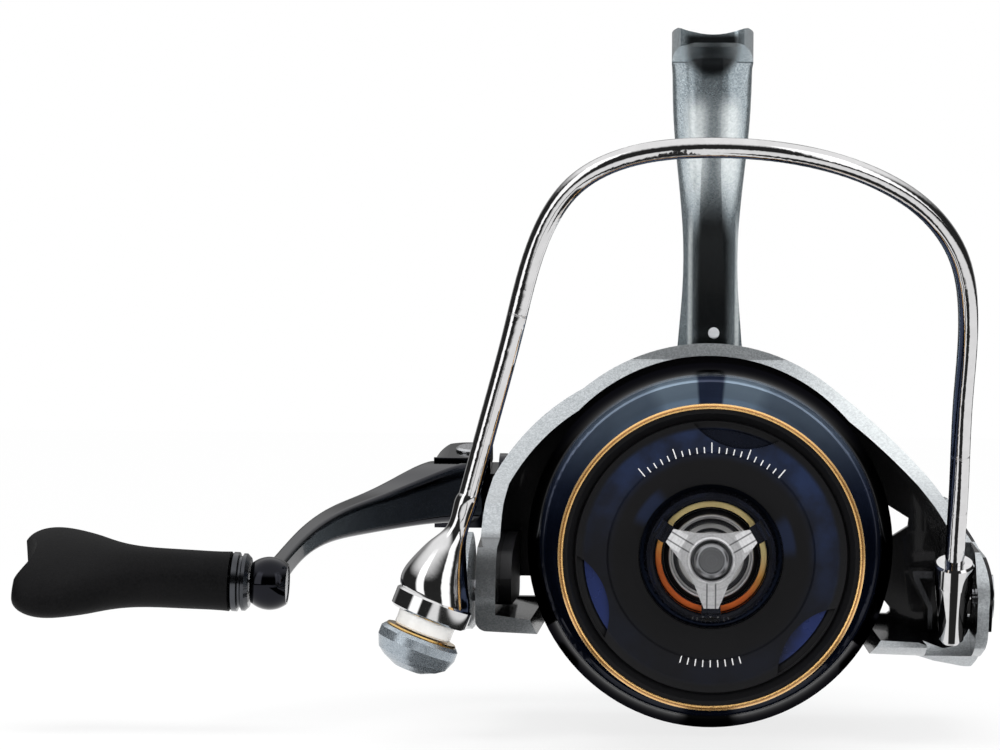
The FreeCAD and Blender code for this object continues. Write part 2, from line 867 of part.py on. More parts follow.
def horn():
    """The chromed horn that leads the line from the wire down to the roller, lofted through rounds."""
    base = 5.5
    lean = D.roller_tilt
    stations = [
        (-48.65, 1.5, 11.9, D.wire_radius, 14.0),
        (-50.3, 1.8, 6.9, size(2.1), 20.0),
        (-51.4, 2.0, 3.9, size(2.55), 26.0),
        (-52.7, 2.3, 1.2, size(3.95), 26.0),
        (-53.9, 2.6, -1.7, size(5.4), 24.0),
        (-54.8, 2.9, -4.3, size(6.6), 22.0),
    ]
    rounds = []
    for number, (right, depth, height, radius, tilt) in enumerate(stations):
        rounds.append(station(f"horn_round_{number}", (right, depth, height), radius, tilt))
    rounds.append(
        station(
            "horn_base",
            (
                base * wave("sin", lean) - D.roller_left,
                D.roller_depth,
                D.roller_height + base * wave("cos", lean),
            ),
            size(7.5),
            lean.value,
        )
    )
    cone = doc.addObject("Part::Loft", "horn_cone")
    cone.Sections = rounds
    cone.Solid = True
    collar = roller_piece("horn_collar", bevelled(8.0, base - 4.0, base, 0.4, inner=2.0), keep=False)
    made = doc.addObject("Part::Fuse", "bail_horn")
    made.Base = cone
    made.Tool = collar
    made.Label = "bail_horn"
    nodes.append(made)


def station(name, place, radius, tilt):
    """A round section of the horn, its plane tilted from the level about the depth axis."""
    circle = doc.addObject("Part::Circle", name)
    bind(circle, "Radius", radius)
    put(circle, place, Rotation(Vector(0, 1, 0), tilt))
    return circle


def wire():
    """The bail wire, a round rod bent through the points where its curve changes."""
    route = [
        (-48.65, 1.5, 11.9),
        (-45.3, 0.5, 24.4),
        (-39.7, -1.5, 45.4),
        (-34.9, -3.5, 62.6),
        (-27.6, -6.5, 73.9),
        (-17.4, -8.5, 79.2),
        (-2.2, -9.0, 81.2),
        (15.6, -6.5, 80.2),
        (33.4, -1.0, 75.2),
        (43.0, 3.5, 69.1),
        (49.3, 8.0, 60.5),
        (51.6, 13.0, 50.3),
        (51.6, 24.4, 31.5),
        (51.55, 34.6, 11.0),
        (51.45, 38.1, 4.5),
        (51.4, 40.25, -0.03),
        (51.4, 42.79, -5.47),
    ]
    curve = Part.BSplineCurve()
    curve.interpolate([Vector(*point) for point in route])
    spine = Part.Wire(curve.toShape())
    start = curve.tangent(curve.FirstParameter)[0]
    section = Part.Wire(Part.Circle(Vector(*route[0]), start, D.wire_radius.value).toShape())
    rod = spine.makePipeShell([section], True, True)
    made = doc.addObject("Part::Feature", "bail_wire")
    made.Label = "bail_wire"
    made.Shape = rod
    put(made)
    nodes.append(made)


def holder():
    """The right-hand end of the bail: a ferrule that grips the wire, on a barrel with a pivot boss."""
    lean = Rotation(Vector(1, 0, 0), 25.0) * UPWARD
    axis_point = (51.4, 44.9, -10.0)
    turned("wire_ferrule", [(2.1, 3.2), (4.0, 3.2), (4.2, 7.7), (3.8, 8.2), (2.1, 8.2)], axis_point, lean)
    barrel = turned(
        "holder_barrel",
        [(0, -10.8), (2.0, -10.8), (2.6, -10.0), (3.95, 3.0), (3.95, 3.2), (0, 3.2)],
        axis_point,
        lean,
        keep=False,
    )
    boss = turned("holder_boss", bevelled(4.4, 0, 6.0, 0.4), (49.4, D.pivot_depth, D.pivot_height), RIGHTWARD, False)
    whole = doc.addObject("Part::Fuse", "holder_whole")
    whole.Base = barrel
    whole.Tool = boss
    whole.Refine = True
    drill = doc.addObject("Part::Cylinder", "holder_drill")
    drill.Height = 12.0
    drill.Radius = 1.66
    put(drill, (46.8, D.pivot_depth, D.pivot_height), Rotation(Vector(0, 1, 0), 90))
    made = doc.addObject("Part::Cut", "bail_holder")
    made.Label = "bail_holder"
    made.Base = whole
    made.Tool = drill
    nodes.append(made)


def line_roller():
    """The line roller on its bearing, the gold bush under it, and the capped axle."""
    roller_piece(
        "line_roller",
        [(3.6, -1.75), (5.75, -1.75), (5.95, -1.4), (5.95, 1.1, -11.0), (5.75, 1.45), (3.6, 1.45)],
    )
    roller_piece("roller_bearing", ring(2.0, 3.54, -1.7, 1.4))
    roller_piece("roller_bush", [(2.0, -2.5), (7.2, -2.5), (7.4, -2.25), (7.2, -2.0), (2.0, -2.0)])
    roller_piece(
        "roller_cap",
        [
            (0, 5.5),
            (2.0, 5.5),
            (2.0, -2.5),
            (7.6, -2.5),
            (8.2, -3.2),
            (8.2, -5.0),
            (7.2, -7.4),
            (5.7, -8.5),
            (3.0, -9.7),
            (0, -10.0),
        ][::-1],
    )


# ---------------------------------------------------------------- crank and knob


def crank_place(along=0.0):
    """A place on the crank's axis, so many millimetres to the left of the spool's axis."""
    return (-size(along), CRANK_DEPTH, D.crank_height)


ARM_TURN = Rotation(Vector(1, 0, 0), D.crank_droop.value) * FORWARD


def crank():
    """The gear shaft, its collar and shank, and the folding arm with its pin."""
    shaft = 4.0
    turned(
        "gear_shaft",
        [(0, -18.6), (3.4, -18.6), (shaft, -18.0), (shaft, 34.0), (3.2, 34.6), (0, 34.6)],
        crank_place(),
        LEFTWARD,
    )
    turned("shaft_collar", bevelled(6.6, 27.6, 30.4, 0.5, inner=shaft), crank_place(), LEFTWARD)
    turned(
        "crank_shank",
        [
            (shaft, 30.6),
            (6.2, 30.6),
            (6.6, 31.2),
            (5.6, 36.0, -9.0),
            (5.6, 44.0),
            (7.6, 48.0, 6.0),
            (7.6, 49.4),
            (0, 49.4),
            (0, 34.8),
            (shaft, 34.8),
        ],
        crank_place(),
        LEFTWARD,
    )
    hinge()
    handle_arm()


def hinge():
    """The fold hinge at the crank's root: a tongue on the shank, held by a pin across the arm's fork."""
    tongue = body("hinge_block", crank_place(), ARM_TURN)
    shape = outline(
        tongue,
        "XY",
        "tongue_outline",
        [(49.4, -5.6), (56.2, -5.6), (56.2, 5.6, 5.7), (49.4, 5.6)],
        offset=-4.2,
    )
    feature(tongue, "Pad", "tongue", shape, Length=8.4)
    hole = circles(tongue, "XY", "hole_outline", [(56.2, 0, 2.5)], offset=5.0)
    feature(tongue, "Pocket", "hole", hole, Length=10.0)
    turned(
        "fold_pin",
        [(0, -9.2), (3.6, -9.2), (3.6, -8.6), (2.5, -8.6)]
        + [(2.5, 8.6), (3.6, 8.6), (3.6, 9.0), (3.0, 9.4), (0, 9.4)],
        crank_place(56.2),
        ARM_TURN * UPWARD,
    )


def handle_arm():
    """The cast crank arm: a fork round the tongue, a blade that thins outward, and the knob's boss."""
    arm = body("handle_arm", crank_place(), ARM_TURN)
    stations = [
        (7.2, 60.6, 0.0, 7.6, 7.6),
        (14.0, 65.6, 0.8, 6.4, 6.4),
        (24.0, 73.4, 0.8, 4.6, 4.9),
        (38.0, 81.8, 1.6, 3.3, 3.8),
        (55.0, 88.4, 2.3, 2.3, 2.6),
        (70.0, 92.2, 1.3, 1.8, 2.3),
        (82.5, 94.4, 0.0, 2.0, 3.0),
    ]
    sections = []
    for number, (reach, out, up, half_width, half_height) in enumerate(stations):
        corner = 0.45 * half_width
        points = [
            (out - half_width, up + corner - half_height),
            (out - half_width + corner, up - half_height, corner),
            (out + half_width - corner, up - half_height),
            (out + half_width, up + corner - half_height, corner),
            (out + half_width, up + half_height - corner),
            (out + half_width - corner, up + half_height, corner),
            (out - half_width + corner, up + half_height),
            (out - half_width, up + half_height - corner, corner),
        ]
        sections.append(outline(arm, "XZ", f"section_{number}", points, offset=-reach))
    loft = feature(arm, "AdditiveLoft", "blade", sections[0])
    loft.Sections = sections[1:]
    root = outline(
        arm,
        "XY",
        "root_outline",
        [(51.4, -7.6), (57.2, -7.6), (64.5, -0.5, 7.6), (64.5, 7.6), (53.2, 7.6), (51.4, 4.0)],
        offset=-8.5,
    )
    feature(arm, "Pad", "root", root, Length=17.0)
    for side, way in (("upper", 1), ("lower", -1)):
        corner = [(60.6, way * 8.7), (65.0, way * 5.8, -7.0 * way), (70.0, way * 5.8)]
        corner += [(70.0, way * 9.0), (60.6, way * 9.0)]
        round_off = outline(arm, "XZ", side + "_corner_outline", corner, offset=8.0)
        feature(arm, "Pocket", side + "_corner", round_off, Length=15.0)
    slot = outline(
        arm,
        "XY",
        "slot_outline",
        [(49.0, -9.0), (57.2, -9.0), (62.3, -0.6, 6.5), (62.3, 6.0), (49.0, 6.0)],
        offset=-4.4,
    )
    feature(arm, "Pocket", "slot", slot, Length=8.8, Reversed=True)
    pin = circles(arm, "XY", "pin_outline", [(56.2, 0, 2.5)], offset=9.0)
    feature(arm, "Pocket", "pin_hole", pin, Length=18.0)
    ball = [(0, 90.7), (4.3, 90.7), (5.75, D.knob_reach, 6.1), (4.3, 98.5, 6.1), (0, 98.5)]
    whole = doc.addObject("Part::Fuse", "arm_with_ball")
    whole.Base = arm
    whole.Tool = knob_piece("ball_boss", ball, keep=False)
    drill = [(0, 86.0), (3.9, 86.0), (3.9, 92.0), (2.6, 92.0), (2.6, 102.0), (0, 102.0)]
    made = doc.addObject("Part::Cut", "bored_arm")
    made.Base = whole
    made.Tool = knob_piece("boss_drill", drill, keep=False)
    nodes.remove(arm)
    arm.Label = "arm_blade"
    made.Label = "handle_arm"
    nodes.append(made)


KNOB_TURN = Rotation(Vector(0, 1, 0), D.knob_rise.value) * LEFTWARD


def knob_place(out=0.0):
    """A place on the knob's axis, so many millimetres to the left of the spool's axis."""
    droop = D.crank_droop
    return (
        -size(out),
        CRANK_DEPTH - D.crank_length * wave("cos", droop),
        D.crank_height
        - D.crank_length * wave("sin", droop)
        + (size(out) - D.knob_reach) * wave("tan", D.knob_rise),
    )


def knob_piece(label, points, keep=True):
    """A piece turned about the knob's axis, measured outward from the spool's axis."""
    return turned(label, points, knob_place(), KNOB_TURN, keep)


def knob():
    """The knob's axle and bearings, and the flattened T-shaped rubber grip on them."""
    knob_piece(
        "knob_axle",
        [
            (0, 90.9),
            (3.6, 90.9),
            (3.8, 91.3),
            (3.8, 92.0),
            (2.6, 92.0),
            (2.6, 98.4),
            (2.2, 98.4),
            (2.2, 128.0),
            (0, 128.0),
        ],
    )
    bearings = [
        knob_piece(f"knob_bearing_{number}", ring(2.2 + 0.06, 4.2, near, near + 4.0), keep=False)
        for number, near in enumerate((104.0, 123.0))
    ]
    group("knob_bearings", bearings)
    knob_piece(
        "knob_collar",
        [
            (2.3, 98.8),
            (5.4, 98.8),
            (6.2, 99.6),
            (6.2, 100.3),
            (5.6, 100.6),
            (5.6, 101.0),
            (6.4, 101.3),
            (6.4, 102.4),
            (6.0, 102.8),
            (2.3, 102.8),
        ],
    )
    grip()
    knob_piece("knob_end_cap", [(0, 141.0), (4.2, 141.0), (4.2, 142.4), (3.8, 142.8), (0, 142.8)])


def grip():
    """The rubber grip, lofted from its round neck to the flat bar of the T, with a scooped end."""
    rise = Rotation(Vector(0, 1, 0), D.knob_rise.value)
    tilt = rise * Rotation(Vector(1, 0, 0), 30.0)
    across = Rotation(Vector(0, 1, 0), Vector(0, 0, 1), Vector(1, 0, 0), "XYZ")
    stations = [
        (103.0, 6.5, 6.4),
        (112.0, 6.5, 6.3),
        (120.5, 6.9, 6.3),
        (126.5, 8.6, 6.3),
        (133.0, 12.4, 6.3),
        (139.5, 14.9, 6.3),
        (144.5, 14.8, 6.0),
        (147.4, 13.2, 4.9),
        (148.6, 11.2, 3.6),
    ]
    rounds = []
    for number, (out, wide, thick) in enumerate(stations):
        oval = doc.addObject("Part::Ellipse", f"grip_oval_{number}")
        oval.MajorRadius = wide
        oval.MinorRadius = thick
        put(oval, knob_place(out), tilt * across)
        rounds.append(oval)
    loft = doc.addObject("Part::Loft", "grip_loft")
    loft.Sections = rounds
    loft.Solid = True
    scoop = doc.addObject("Part::Cylinder", "grip_scoop")
    scoop.Radius = 10.0
    scoop.Height = 30.0
    end = knob_place(155.5)
    put(scoop, (end[0], end[1] + 7.5, end[2] - 13.0), tilt)
    bore = doc.addObject("Part::Cylinder", "grip_bore")
    bore.Radius = 4.2
    bore.Height = 44.0
    put(bore, knob_place(143.6), rise * Rotation(Vector(0, 1, 0), 90))
    cutter = doc.addObject("Part::MultiFuse", "grip_cutter")
    cutter.Shapes = [scoop, bore]
    made = doc.addObject("Part::Cut", "knob_grip")
    made.Label = "knob_grip"
    made.Base = loft
    made.Tool = cutter
    nodes.append(made)




# ---------------------------------------------------------------- gear train


def gears():
    """The face gear on the crank's shaft, the pinion that it drives and the worm shaft beside them."""
    pitch_radius = D.gear_module * D.pinion_teeth / 2
    reach = D.gear_module * D.gear_teeth / 2
    width = 4.4
    near = D.mesh_depth - width / 2

    pinion = body("pinion_gear", turn=Rotation(Vector(0, 1, 0), 180 / D.pinion_teeth.value))
    revolve(
        pinion,
        "tube",
        [
            (D.shaft_radius + D.running, D.cup_front - 5.4),
            (5.0, D.cup_front - 5.4),
            (5.0, near - 3.0),
            (pitch_radius - 0.75, near - 2.0),
            (pitch_radius - 0.75, D.mesh_depth + 2.6),
            (3.2, D.mesh_depth + 3.2),
            (3.2, D.mesh_depth + 6.8),
            (D.shaft_radius + D.running, D.mesh_depth + 6.8),
        ],
    )
    tooth_ring(pinion, "XZ", pitch_radius, D.pinion_teeth, near + width, width)

    wheel = turned("drive_gear", bevelled(22.9, 5.35, 8.4, 0.6, inner=4.0), crank_place(), RIGHTWARD)
    hub = circles(wheel, "XZ", "hub_outline", [(0, 0, 7.4)], offset=-8.4)
    feature(wheel, "Pad", "hub", hub, Length=3.4, Reversed=True)
    shaft_hole = circles(wheel, "XZ", "shaft_hole_outline", [(0, 0, 4.0)], offset=-5.0)
    feature(wheel, "Pocket", "shaft_hole", shaft_hole, Length=8.0)
    tip, pitch, root = 3.98, pitch_radius, 5.45
    profile = outline(
        wheel,
        "YZ",
        "tooth_outline",
        [
            (tip, -D.crank_height - 0.2),
            (pitch, -D.crank_height - 0.4),
            (root, -D.crank_height - 0.72),
            (root, -D.crank_height + 0.72),
            (pitch, -D.crank_height + 0.4),
            (tip, -D.crank_height + 0.2),
        ],
        offset=reach - width / 2,
    )
    tooth = feature(wheel, "Pad", "tooth", profile, Length=width)
    polar(wheel, tooth, int(D.gear_teeth.value), "Y")

    worm_teeth = 18.0
    worm_pitch = D.gear_module * worm_teeth / 2
    aside = (pitch_radius + worm_pitch) / math.sqrt(2)
    worm = body("worm_shaft", (-aside, 0, -aside), Rotation(Vector(0, 1, 0), 15.0))
    revolve(
        worm,
        "spindle",
        [
            (0, 109.0),
            (1.8, 109.0),
            (1.8, near),
            (worm_pitch - 0.85, near),
            (worm_pitch - 0.85, near + width),
            (3.2, near + width),
            (3.2, 173.4),
            (1.8, 173.4),
            (1.8, 176.4),
            (0, 176.4),
        ],
    )
    tooth_ring(worm, "XZ", worm_pitch, size(worm_teeth), near + width, width)


def tooth_ring(owner, plane, pitch_radius, count, depth, width):
    """Straight-sided teeth round a toothed blank, the first one upright."""
    shape = outline(
        owner,
        plane,
        "tooth_outline",
        [
            (-0.66, pitch_radius - 0.95),
            (-0.4, pitch_radius),
            (-0.2, pitch_radius + 0.58),
            (0.2, pitch_radius + 0.58),
            (0.4, pitch_radius),
            (0.66, pitch_radius - 0.95),
        ],
        offset=-depth,
    )
    tooth = feature(owner, "Pad", "tooth", shape, Length=width)
    polar(owner, tooth, int(count.value), "Y")


def slider():
    """The slider that drives the main shaft along, guided by a rod beside the worm shaft."""
    near = 168.6
    block = body("slider_block")
    shape = outline(
        block,
        "XZ",
        "block_outline",
        [(-4.2, -5.0), (-2.4, -6.8), (-2.4, -14.0), (3.4, -14.0), (3.4, 5.0), (-4.2, 5.0)],
        offset=-near - 4.8,
    )
    feature(block, "Pad", "block", shape, Length=4.8)
    holes = circles(
        block,
        "XZ",
        "holes_outline",
        [(0, 0, D.shaft_radius), (0.4, -10.6, 1.5 + D.running)],
        offset=-near + 0.5,
    )
    feature(block, "Pocket", "holes", holes, Length=6.0)
    turned("guide_rod", ring(0, 1.5, 119.6, 176.5), (0.4, 0, -10.6))


# ---------------------------------------------------------------- body


def housing():
    """The cast body: rod foot, stem and gear housing with a bearing nose inside the rotor."""
    frame = body("body_frame")
    half = D.foot_length / 2
    middle = D.lip_ahead
    half_width = D.foot_width / 2
    top = D.axis_drop
    saddle = D.saddle_radius
    plan = outline(
        frame,
        "XY",
        "foot_plan",
        [
            (-half_width + 5.0, middle - half),
            (half_width - 5.0, middle - half),
            (half_width - 2.0, middle - half + 3.0, 3.2),
            (half_width, middle - half + 17.0, 60.0),
            (half_width, middle + half - 17.0),
            (half_width - 2.0, middle + half - 3.0, 60.0),
            (half_width - 5.0, middle + half, 3.2),
            (-half_width + 5.0, middle + half),
            (-half_width + 2.0, middle + half - 3.0, 3.2),
            (-half_width, middle + half - 17.0, 60.0),
            (-half_width, middle - half + 17.0),
            (-half_width + 2.0, middle - half + 3.0, 60.0),
        ],
        offset=top - 4.8,
    )
    feature(frame, "Pad", "foot", plan, Length=6.8)
    groove = circles(frame, "XZ", "saddle_outline", [(0, top + saddle, saddle)], offset=-middle + half + 1)
    feature(frame, "Pocket", "saddle", groove, Length=D.foot_length + 2)
    under = outline(
        frame,
        "YZ",
        "foot_underside",
        [
            (middle - half - 1, top - 1.6),
            (middle - half + 3.0, top - 2.4),
            (middle - half + 16.0, top - 4.6, -60.0),
            (middle - half + 19.0, top - 8.0),
            (middle - half - 1, top - 8.0),
        ],
        offset=-20.0,
    )
    feature(frame, "Pocket", "foot_front", under, Length=40.0, Reversed=True)
    behind = outline(
        frame,
        "YZ",
        "foot_behind",
        [
            (middle + half + 1, top - 1.6),
            (middle + half + 1, top - 8.0),
            (middle + half - 16.0, top - 8.0),
            (middle + half - 14.0, top - 4.6),
            (middle + half - 3.0, top - 2.4, -60.0),
        ],
        offset=-20.0,
    )
    feature(frame, "Pocket", "foot_rear", behind, Length=40.0, Reversed=True)
    stem(frame)
    gear_case(frame)
    return frame


def stem(frame):
    """The stem: a loft, waisted in front view, with a facetted front that rounds off up to the foot."""
    facetted = (0.55, 0.55, 2.5)
    rounded = (0.25, 0.95, 0.9)
    stations = [
        (30.0, 134.0, 20.0, 10.5, facetted),
        (44.0, 127.0, 15.5, 7.4, facetted),
        (55.0, 122.5, 12.8, 6.5, facetted),
        (67.0, 118.6, 10.6, 6.3, (0.45, 0.68, 1.4)),
        (80.0, 114.6, 10.2, 7.3, (0.32, 0.86, 1.0)),
        (92.0, 110.0, 12.6, 8.5, rounded),
        (100.0, 106.8, 16.0, 8.9, rounded),
        (107.6, 105.0, 23.5, 9.05, rounded),
    ]
    sections = []
    for number, (height, middle, depth, width, (flat, slope, bend)) in enumerate(stations):
        front = middle - depth
        back = middle + depth
        points = [
            (-flat * width, front, bend * width),
            (flat * width, front),
            (width, front + slope * width, bend * width),
            (width, back - 0.8 * width),
            (0.4 * width, back, 1.1 * width),
            (-0.4 * width, back),
            (-width, back - 0.8 * width, 1.1 * width),
            (-width, front + slope * width),
        ]
        sections.append(outline(frame, "XY", f"stem_section_{number}", points, offset=height))
    loft = feature(frame, "AdditiveLoft", "stem", sections[0])
    loft.Sections = sections[1:]
    seat = circles(frame, "XZ", "screw_seat_outline", [(0.9, 46.2, 1.35)], offset=-105.0)
    feature(frame, "Pocket", "screw_seat", seat, Length=6.8)


def gear_case(frame):
    """The gear housing, hollowed from the right, with its bosses and bores."""
    front = D.housing_front
    back = D.housing_back
    left = -17.5
    right = 13.5
    case = outline(
        frame,
        "YZ",
        "case_outline",
        [
            (front, -18.0),
            (front + 5.0, -24.0, 8.0),
            (back - 18.0, -24.0),
            (back, -6.0, 19.0),
            (back, 6.0),
            (back - 8.0, 24.0, 40.0),
            (back - 24.0, 37.0, 30.0),
            (front + 6.0, 37.0),
            (front, 31.0, 7.0),
        ],
        offset=left,
    )
    feature(frame, "Pad", "case", case, Length=right - left)
    nose = circles(frame, "XZ", "nose_outline", [(0, 0, 16.5)], offset=-front)
    feature(frame, "Pad", "nose", nose, Length=22.0)
    boss = circles(frame, "YZ", "boss_outline", [(CRANK_DEPTH, D.crank_height, 11.5)], offset=left)
    made = feature(frame, "Pad", "boss", boss, Length=9.0, Reversed=True)
    hollow = outline(
        frame,
        "YZ",
        "hollow_outline",
        [
            (front + 2.4, -18.0),
            (back - 12.0, -20.0),
            (back - 3.0, -10.0, 12.0),
            (back - 3.0, 6.0),
            (back - 11.0, 22.0, 36.0),
            (back - 25.0, 34.4, 27.0),
            (front + 2.4, 34.4),
        ],
        offset=right,
    )
    feature(frame, "Pocket", "hollow", hollow, Length=right + 15.5)
    for name, radius, start, length in (
        ("clutch_bore", 12.6, front - 23.0, 14.0),
        ("front_bearing_bore", 9.6, front - 10.0, 7.0),
        ("pinion_bore", 6.0, front - 5.0, 10.0),
    ):
        hole = circles(frame, "XZ", name + "_outline", [(0, 0, radius)], offset=-size(start))
        feature(frame, "Pocket", name, hole, Length=length)
    for name, radius, start, length in (("shaft_bore", 5.0, -30.0, 16.0), ("bearing_bore", 8.0, -23.0, 10.0)):
        hole = circles(frame, "YZ", name + "_outline", [(CRANK_DEPTH, D.crank_height, radius)], offset=start)
        feature(frame, "Pocket", name, hole, Length=length, Reversed=True)
    bridge = outline(
        frame,
        "XZ",
        "bridge_outline",
        [
            (-8.0, -2.75),
            (-12.0, -1.0),
            (-15.6, -8.0),
            (-15.6, 4.0),
            (-8.2, 7.0),
            (3.7, 7.0),
            (3.7, -13.4),
            (-2.4, -13.4),
            (-2.4, -8.35),
        ],
        offset=-D.mesh_depth - 6.6,
    )
    feature(frame, "Pad", "bridge", bridge, Length=3.0)
    seat = circles(frame, "XZ", "rear_bearing_outline", [(0, 0, 4.6)], offset=-D.mesh_depth - 3.0)
    feature(frame, "Pocket", "rear_bearing_seat", seat, Length=5.0)
    aside = D.gear_module * (D.pinion_teeth + 18) / (2 * math.sqrt(2))
    for name, right, height, radius, start, length in (
        ("guide_bore", 0.4, -10.6, 1.5, 119.0, 58.0),
        ("worm_front_bore", -aside, -aside, 1.8 + D.running, front + 0.6, 3.0),
        ("worm_rear_bore", -aside, -aside, 1.8 + D.running, back - 8.0, 6.6),
    ):
        hole = circles(frame, "XZ", name + "_outline", [(right, height, radius)], offset=-size(start))
        feature(frame, "Pocket", name, hole, Length=length)


def body_fittings():
    """The cover on the right, the rear guard, the bearings, the one-way clutch and the screws."""
    side = 13.5
    cover = body("side_cover")
    shape = outline(
        cover,
        "YZ",
        "cover_outline",
        [
            (D.housing_front, -18.0),
            (D.housing_front + 5.0, -24.0, 8.0),
            (D.housing_back - 18.0, -24.0),
            (D.housing_back, -6.0, 19.0),
            (D.housing_back, 6.0),
            (D.housing_back - 8.0, 24.0, 40.0),
            (D.housing_back - 24.0, 37.0, 30.0),
            (D.housing_front + 6.0, 37.0),
            (D.housing_front, 31.0, 7.0),
        ],
        offset=side,
    )
    feature(cover, "Pad", "cover", shape, Length=3.0)
    boss = circles(cover, "YZ", "boss_outline", [(CRANK_DEPTH, D.crank_height, 11.0)], offset=side + 3.0)
    feature(cover, "Pad", "boss", boss, Length=4.5)
    bore = circles(cover, "YZ", "bore_outline", [(CRANK_DEPTH, D.crank_height, 8.0)], offset=side + 5.0)
    feature(cover, "Pocket", "bore", bore, Length=8.0)
    clear = circles(cover, "YZ", "clear_outline", [(CRANK_DEPTH, D.crank_height, 4.6)], offset=side + 9.0)
    feature(cover, "Pocket", "clear", clear, Length=8.0)

    turned("side_cap", bevelled(9.4, 21.0, 24.4, 0.8), crank_place(), RIGHTWARD)

    guard = body("rear_guard")
    shape = outline(
        guard,
        "YZ",
        "guard_outline",
        [
            (D.housing_back - 40.0, -24.0),
            (D.housing_back - 18.0, -24.0),
            (D.housing_back, -6.0, 19.0),
            (D.housing_back, 6.0),
            (D.housing_back + 2.6, 2.0),
            (D.housing_back + 2.6, -7.0),
            (D.housing_back - 17.0, -26.8, -22.0),
            (D.housing_back - 38.0, -26.8),
        ],
        offset=-12.5,
    )
    feature(guard, "Pad", "guard", shape, Length=21.0)

    running = D.running
    crank_bearings = [
        turned(f"crank_bearing_{number}", ring(4.0 + running, 8.0, near, near + 4.0), crank_place(), turn, False)
        for number, (near, turn) in enumerate(((14.2, RIGHTWARD), (17.9, LEFTWARD)))
    ]
    group("crank_bearings", crank_bearings)
    pinion_bearings = [
        turned("pinion_bearing_front", ring(5.0 + running, 9.6, 98.2, 102.8), keep=False),
        turned(
            "pinion_bearing_rear",
            ring(3.2 + running, 4.6, D.mesh_depth + 4.0, D.mesh_depth + 6.6),
            keep=False,
        ),
    ]
    group("pinion_bearings", pinion_bearings)
    turned("one_way_clutch", ring(7.7, 12.6, 88.0, 97.8))
    turned("clutch_sleeve", ring(5.0, 7.6, 87.4, 97.9))
    turned("clutch_retainer", ring(7.8, 15.4, 84.7, 86.0))

    head = [(0, 0), (2.0, 0), (2.2, 0.3), (2.2, 1.0), (1.5, 1.6), (0, 1.6)]
    places = ((114.0, 31.0), (150.0, 29.0), (168.5, 2.0), (156.0, -18.0), (114.0, -17.0))
    screws = [
        turned(f"cover_screw_{number}", head, (side + 4.6, depth, height), LEFTWARD, keep=False)
        for number, (depth, height) in enumerate(places)
    ]
    group("cover_screws", screws)
    turned("stem_screw", [(0, 0), (1.1, 0), (1.3, 0.25), (1.3, 1.2), (0, 1.2)], (0.9, 110.6, 46.2), UPRIGHT)


# ---------------------------------------------------------------- build, check, write

spool()
front_plate()
drag_stack()
line_clip()
main_shaft()
drag_knob()
rotor()
rotor_fittings()
bail_pivots()
bail()
line_roller()
crank()
knob()
gears()
slider()
housing()
body_fittings()
doc.recompute()

failed = [f"{o.Name}: {o.State}" for o in doc.Objects if {"Invalid", "Error"} & set(o.State)]
for part in nodes:
    shape = part.Shape
    if shape.isNull() or not shape.isValid():
        failed.append(f"{part.Label}: no valid shape")
if failed:
    raise SystemExit("\n".join(failed))

os.makedirs("parts", exist_ok=True)
for part in nodes:
    part.Shape.exportStep(f"parts/{part.Label}.step")
print(len(nodes), "sub-parts")
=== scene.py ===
"""The looks of a long-cast spinning reel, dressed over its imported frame, in metres.

The frame's origin is the middle of the rod foot's saddle. The spool faces -Y, and its axis runs
along Y below the foot.
"""

import json
import math

import bmesh
import bpy
from mathutils import Matrix, Vector


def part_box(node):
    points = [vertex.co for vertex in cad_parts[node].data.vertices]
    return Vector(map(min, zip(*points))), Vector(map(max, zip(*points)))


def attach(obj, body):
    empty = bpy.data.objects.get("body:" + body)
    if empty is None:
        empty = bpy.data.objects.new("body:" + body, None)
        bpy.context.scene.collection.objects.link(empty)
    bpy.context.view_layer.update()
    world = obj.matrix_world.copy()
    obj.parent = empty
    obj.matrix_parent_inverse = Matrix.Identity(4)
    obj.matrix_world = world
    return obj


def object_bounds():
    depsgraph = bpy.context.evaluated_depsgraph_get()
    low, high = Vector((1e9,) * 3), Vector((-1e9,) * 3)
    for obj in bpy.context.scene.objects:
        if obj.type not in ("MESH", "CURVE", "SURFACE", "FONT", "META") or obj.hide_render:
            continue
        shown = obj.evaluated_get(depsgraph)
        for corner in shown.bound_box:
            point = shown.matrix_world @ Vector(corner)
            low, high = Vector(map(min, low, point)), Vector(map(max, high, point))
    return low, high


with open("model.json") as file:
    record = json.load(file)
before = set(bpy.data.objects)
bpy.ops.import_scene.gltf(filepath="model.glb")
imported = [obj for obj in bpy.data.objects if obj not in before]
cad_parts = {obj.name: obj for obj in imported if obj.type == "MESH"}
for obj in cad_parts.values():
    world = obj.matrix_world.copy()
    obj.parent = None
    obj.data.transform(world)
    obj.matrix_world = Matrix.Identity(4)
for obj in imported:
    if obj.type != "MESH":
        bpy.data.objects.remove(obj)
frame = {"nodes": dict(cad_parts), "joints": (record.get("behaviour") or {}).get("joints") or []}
cad_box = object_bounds()
nodes = frame["nodes"]
scene = bpy.context.scene

# ---------------------------------------------------------------- Studio
# A long-lens camera stands in front of the spool, a little below the rod foot. Tall white softboxes
# stand left and right of it, under a white ceiling and over a pale floor. The room is dark between.

scene.view_settings.view_transform = "Standard"

camera = bpy.data.objects.new("camera", bpy.data.cameras.new("camera"))
scene.collection.objects.link(camera)
scene.camera = camera
camera.data.lens = 129.6
camera.data.sensor_width = 36.0
camera.data.clip_end = 50.0
camera.location = (-0.0046, -0.825, -0.0752)
camera.rotation_mode = "XYZ"
camera.rotation_euler = tuple(math.radians(angle) for angle in (90.024, -0.45, 3.013))


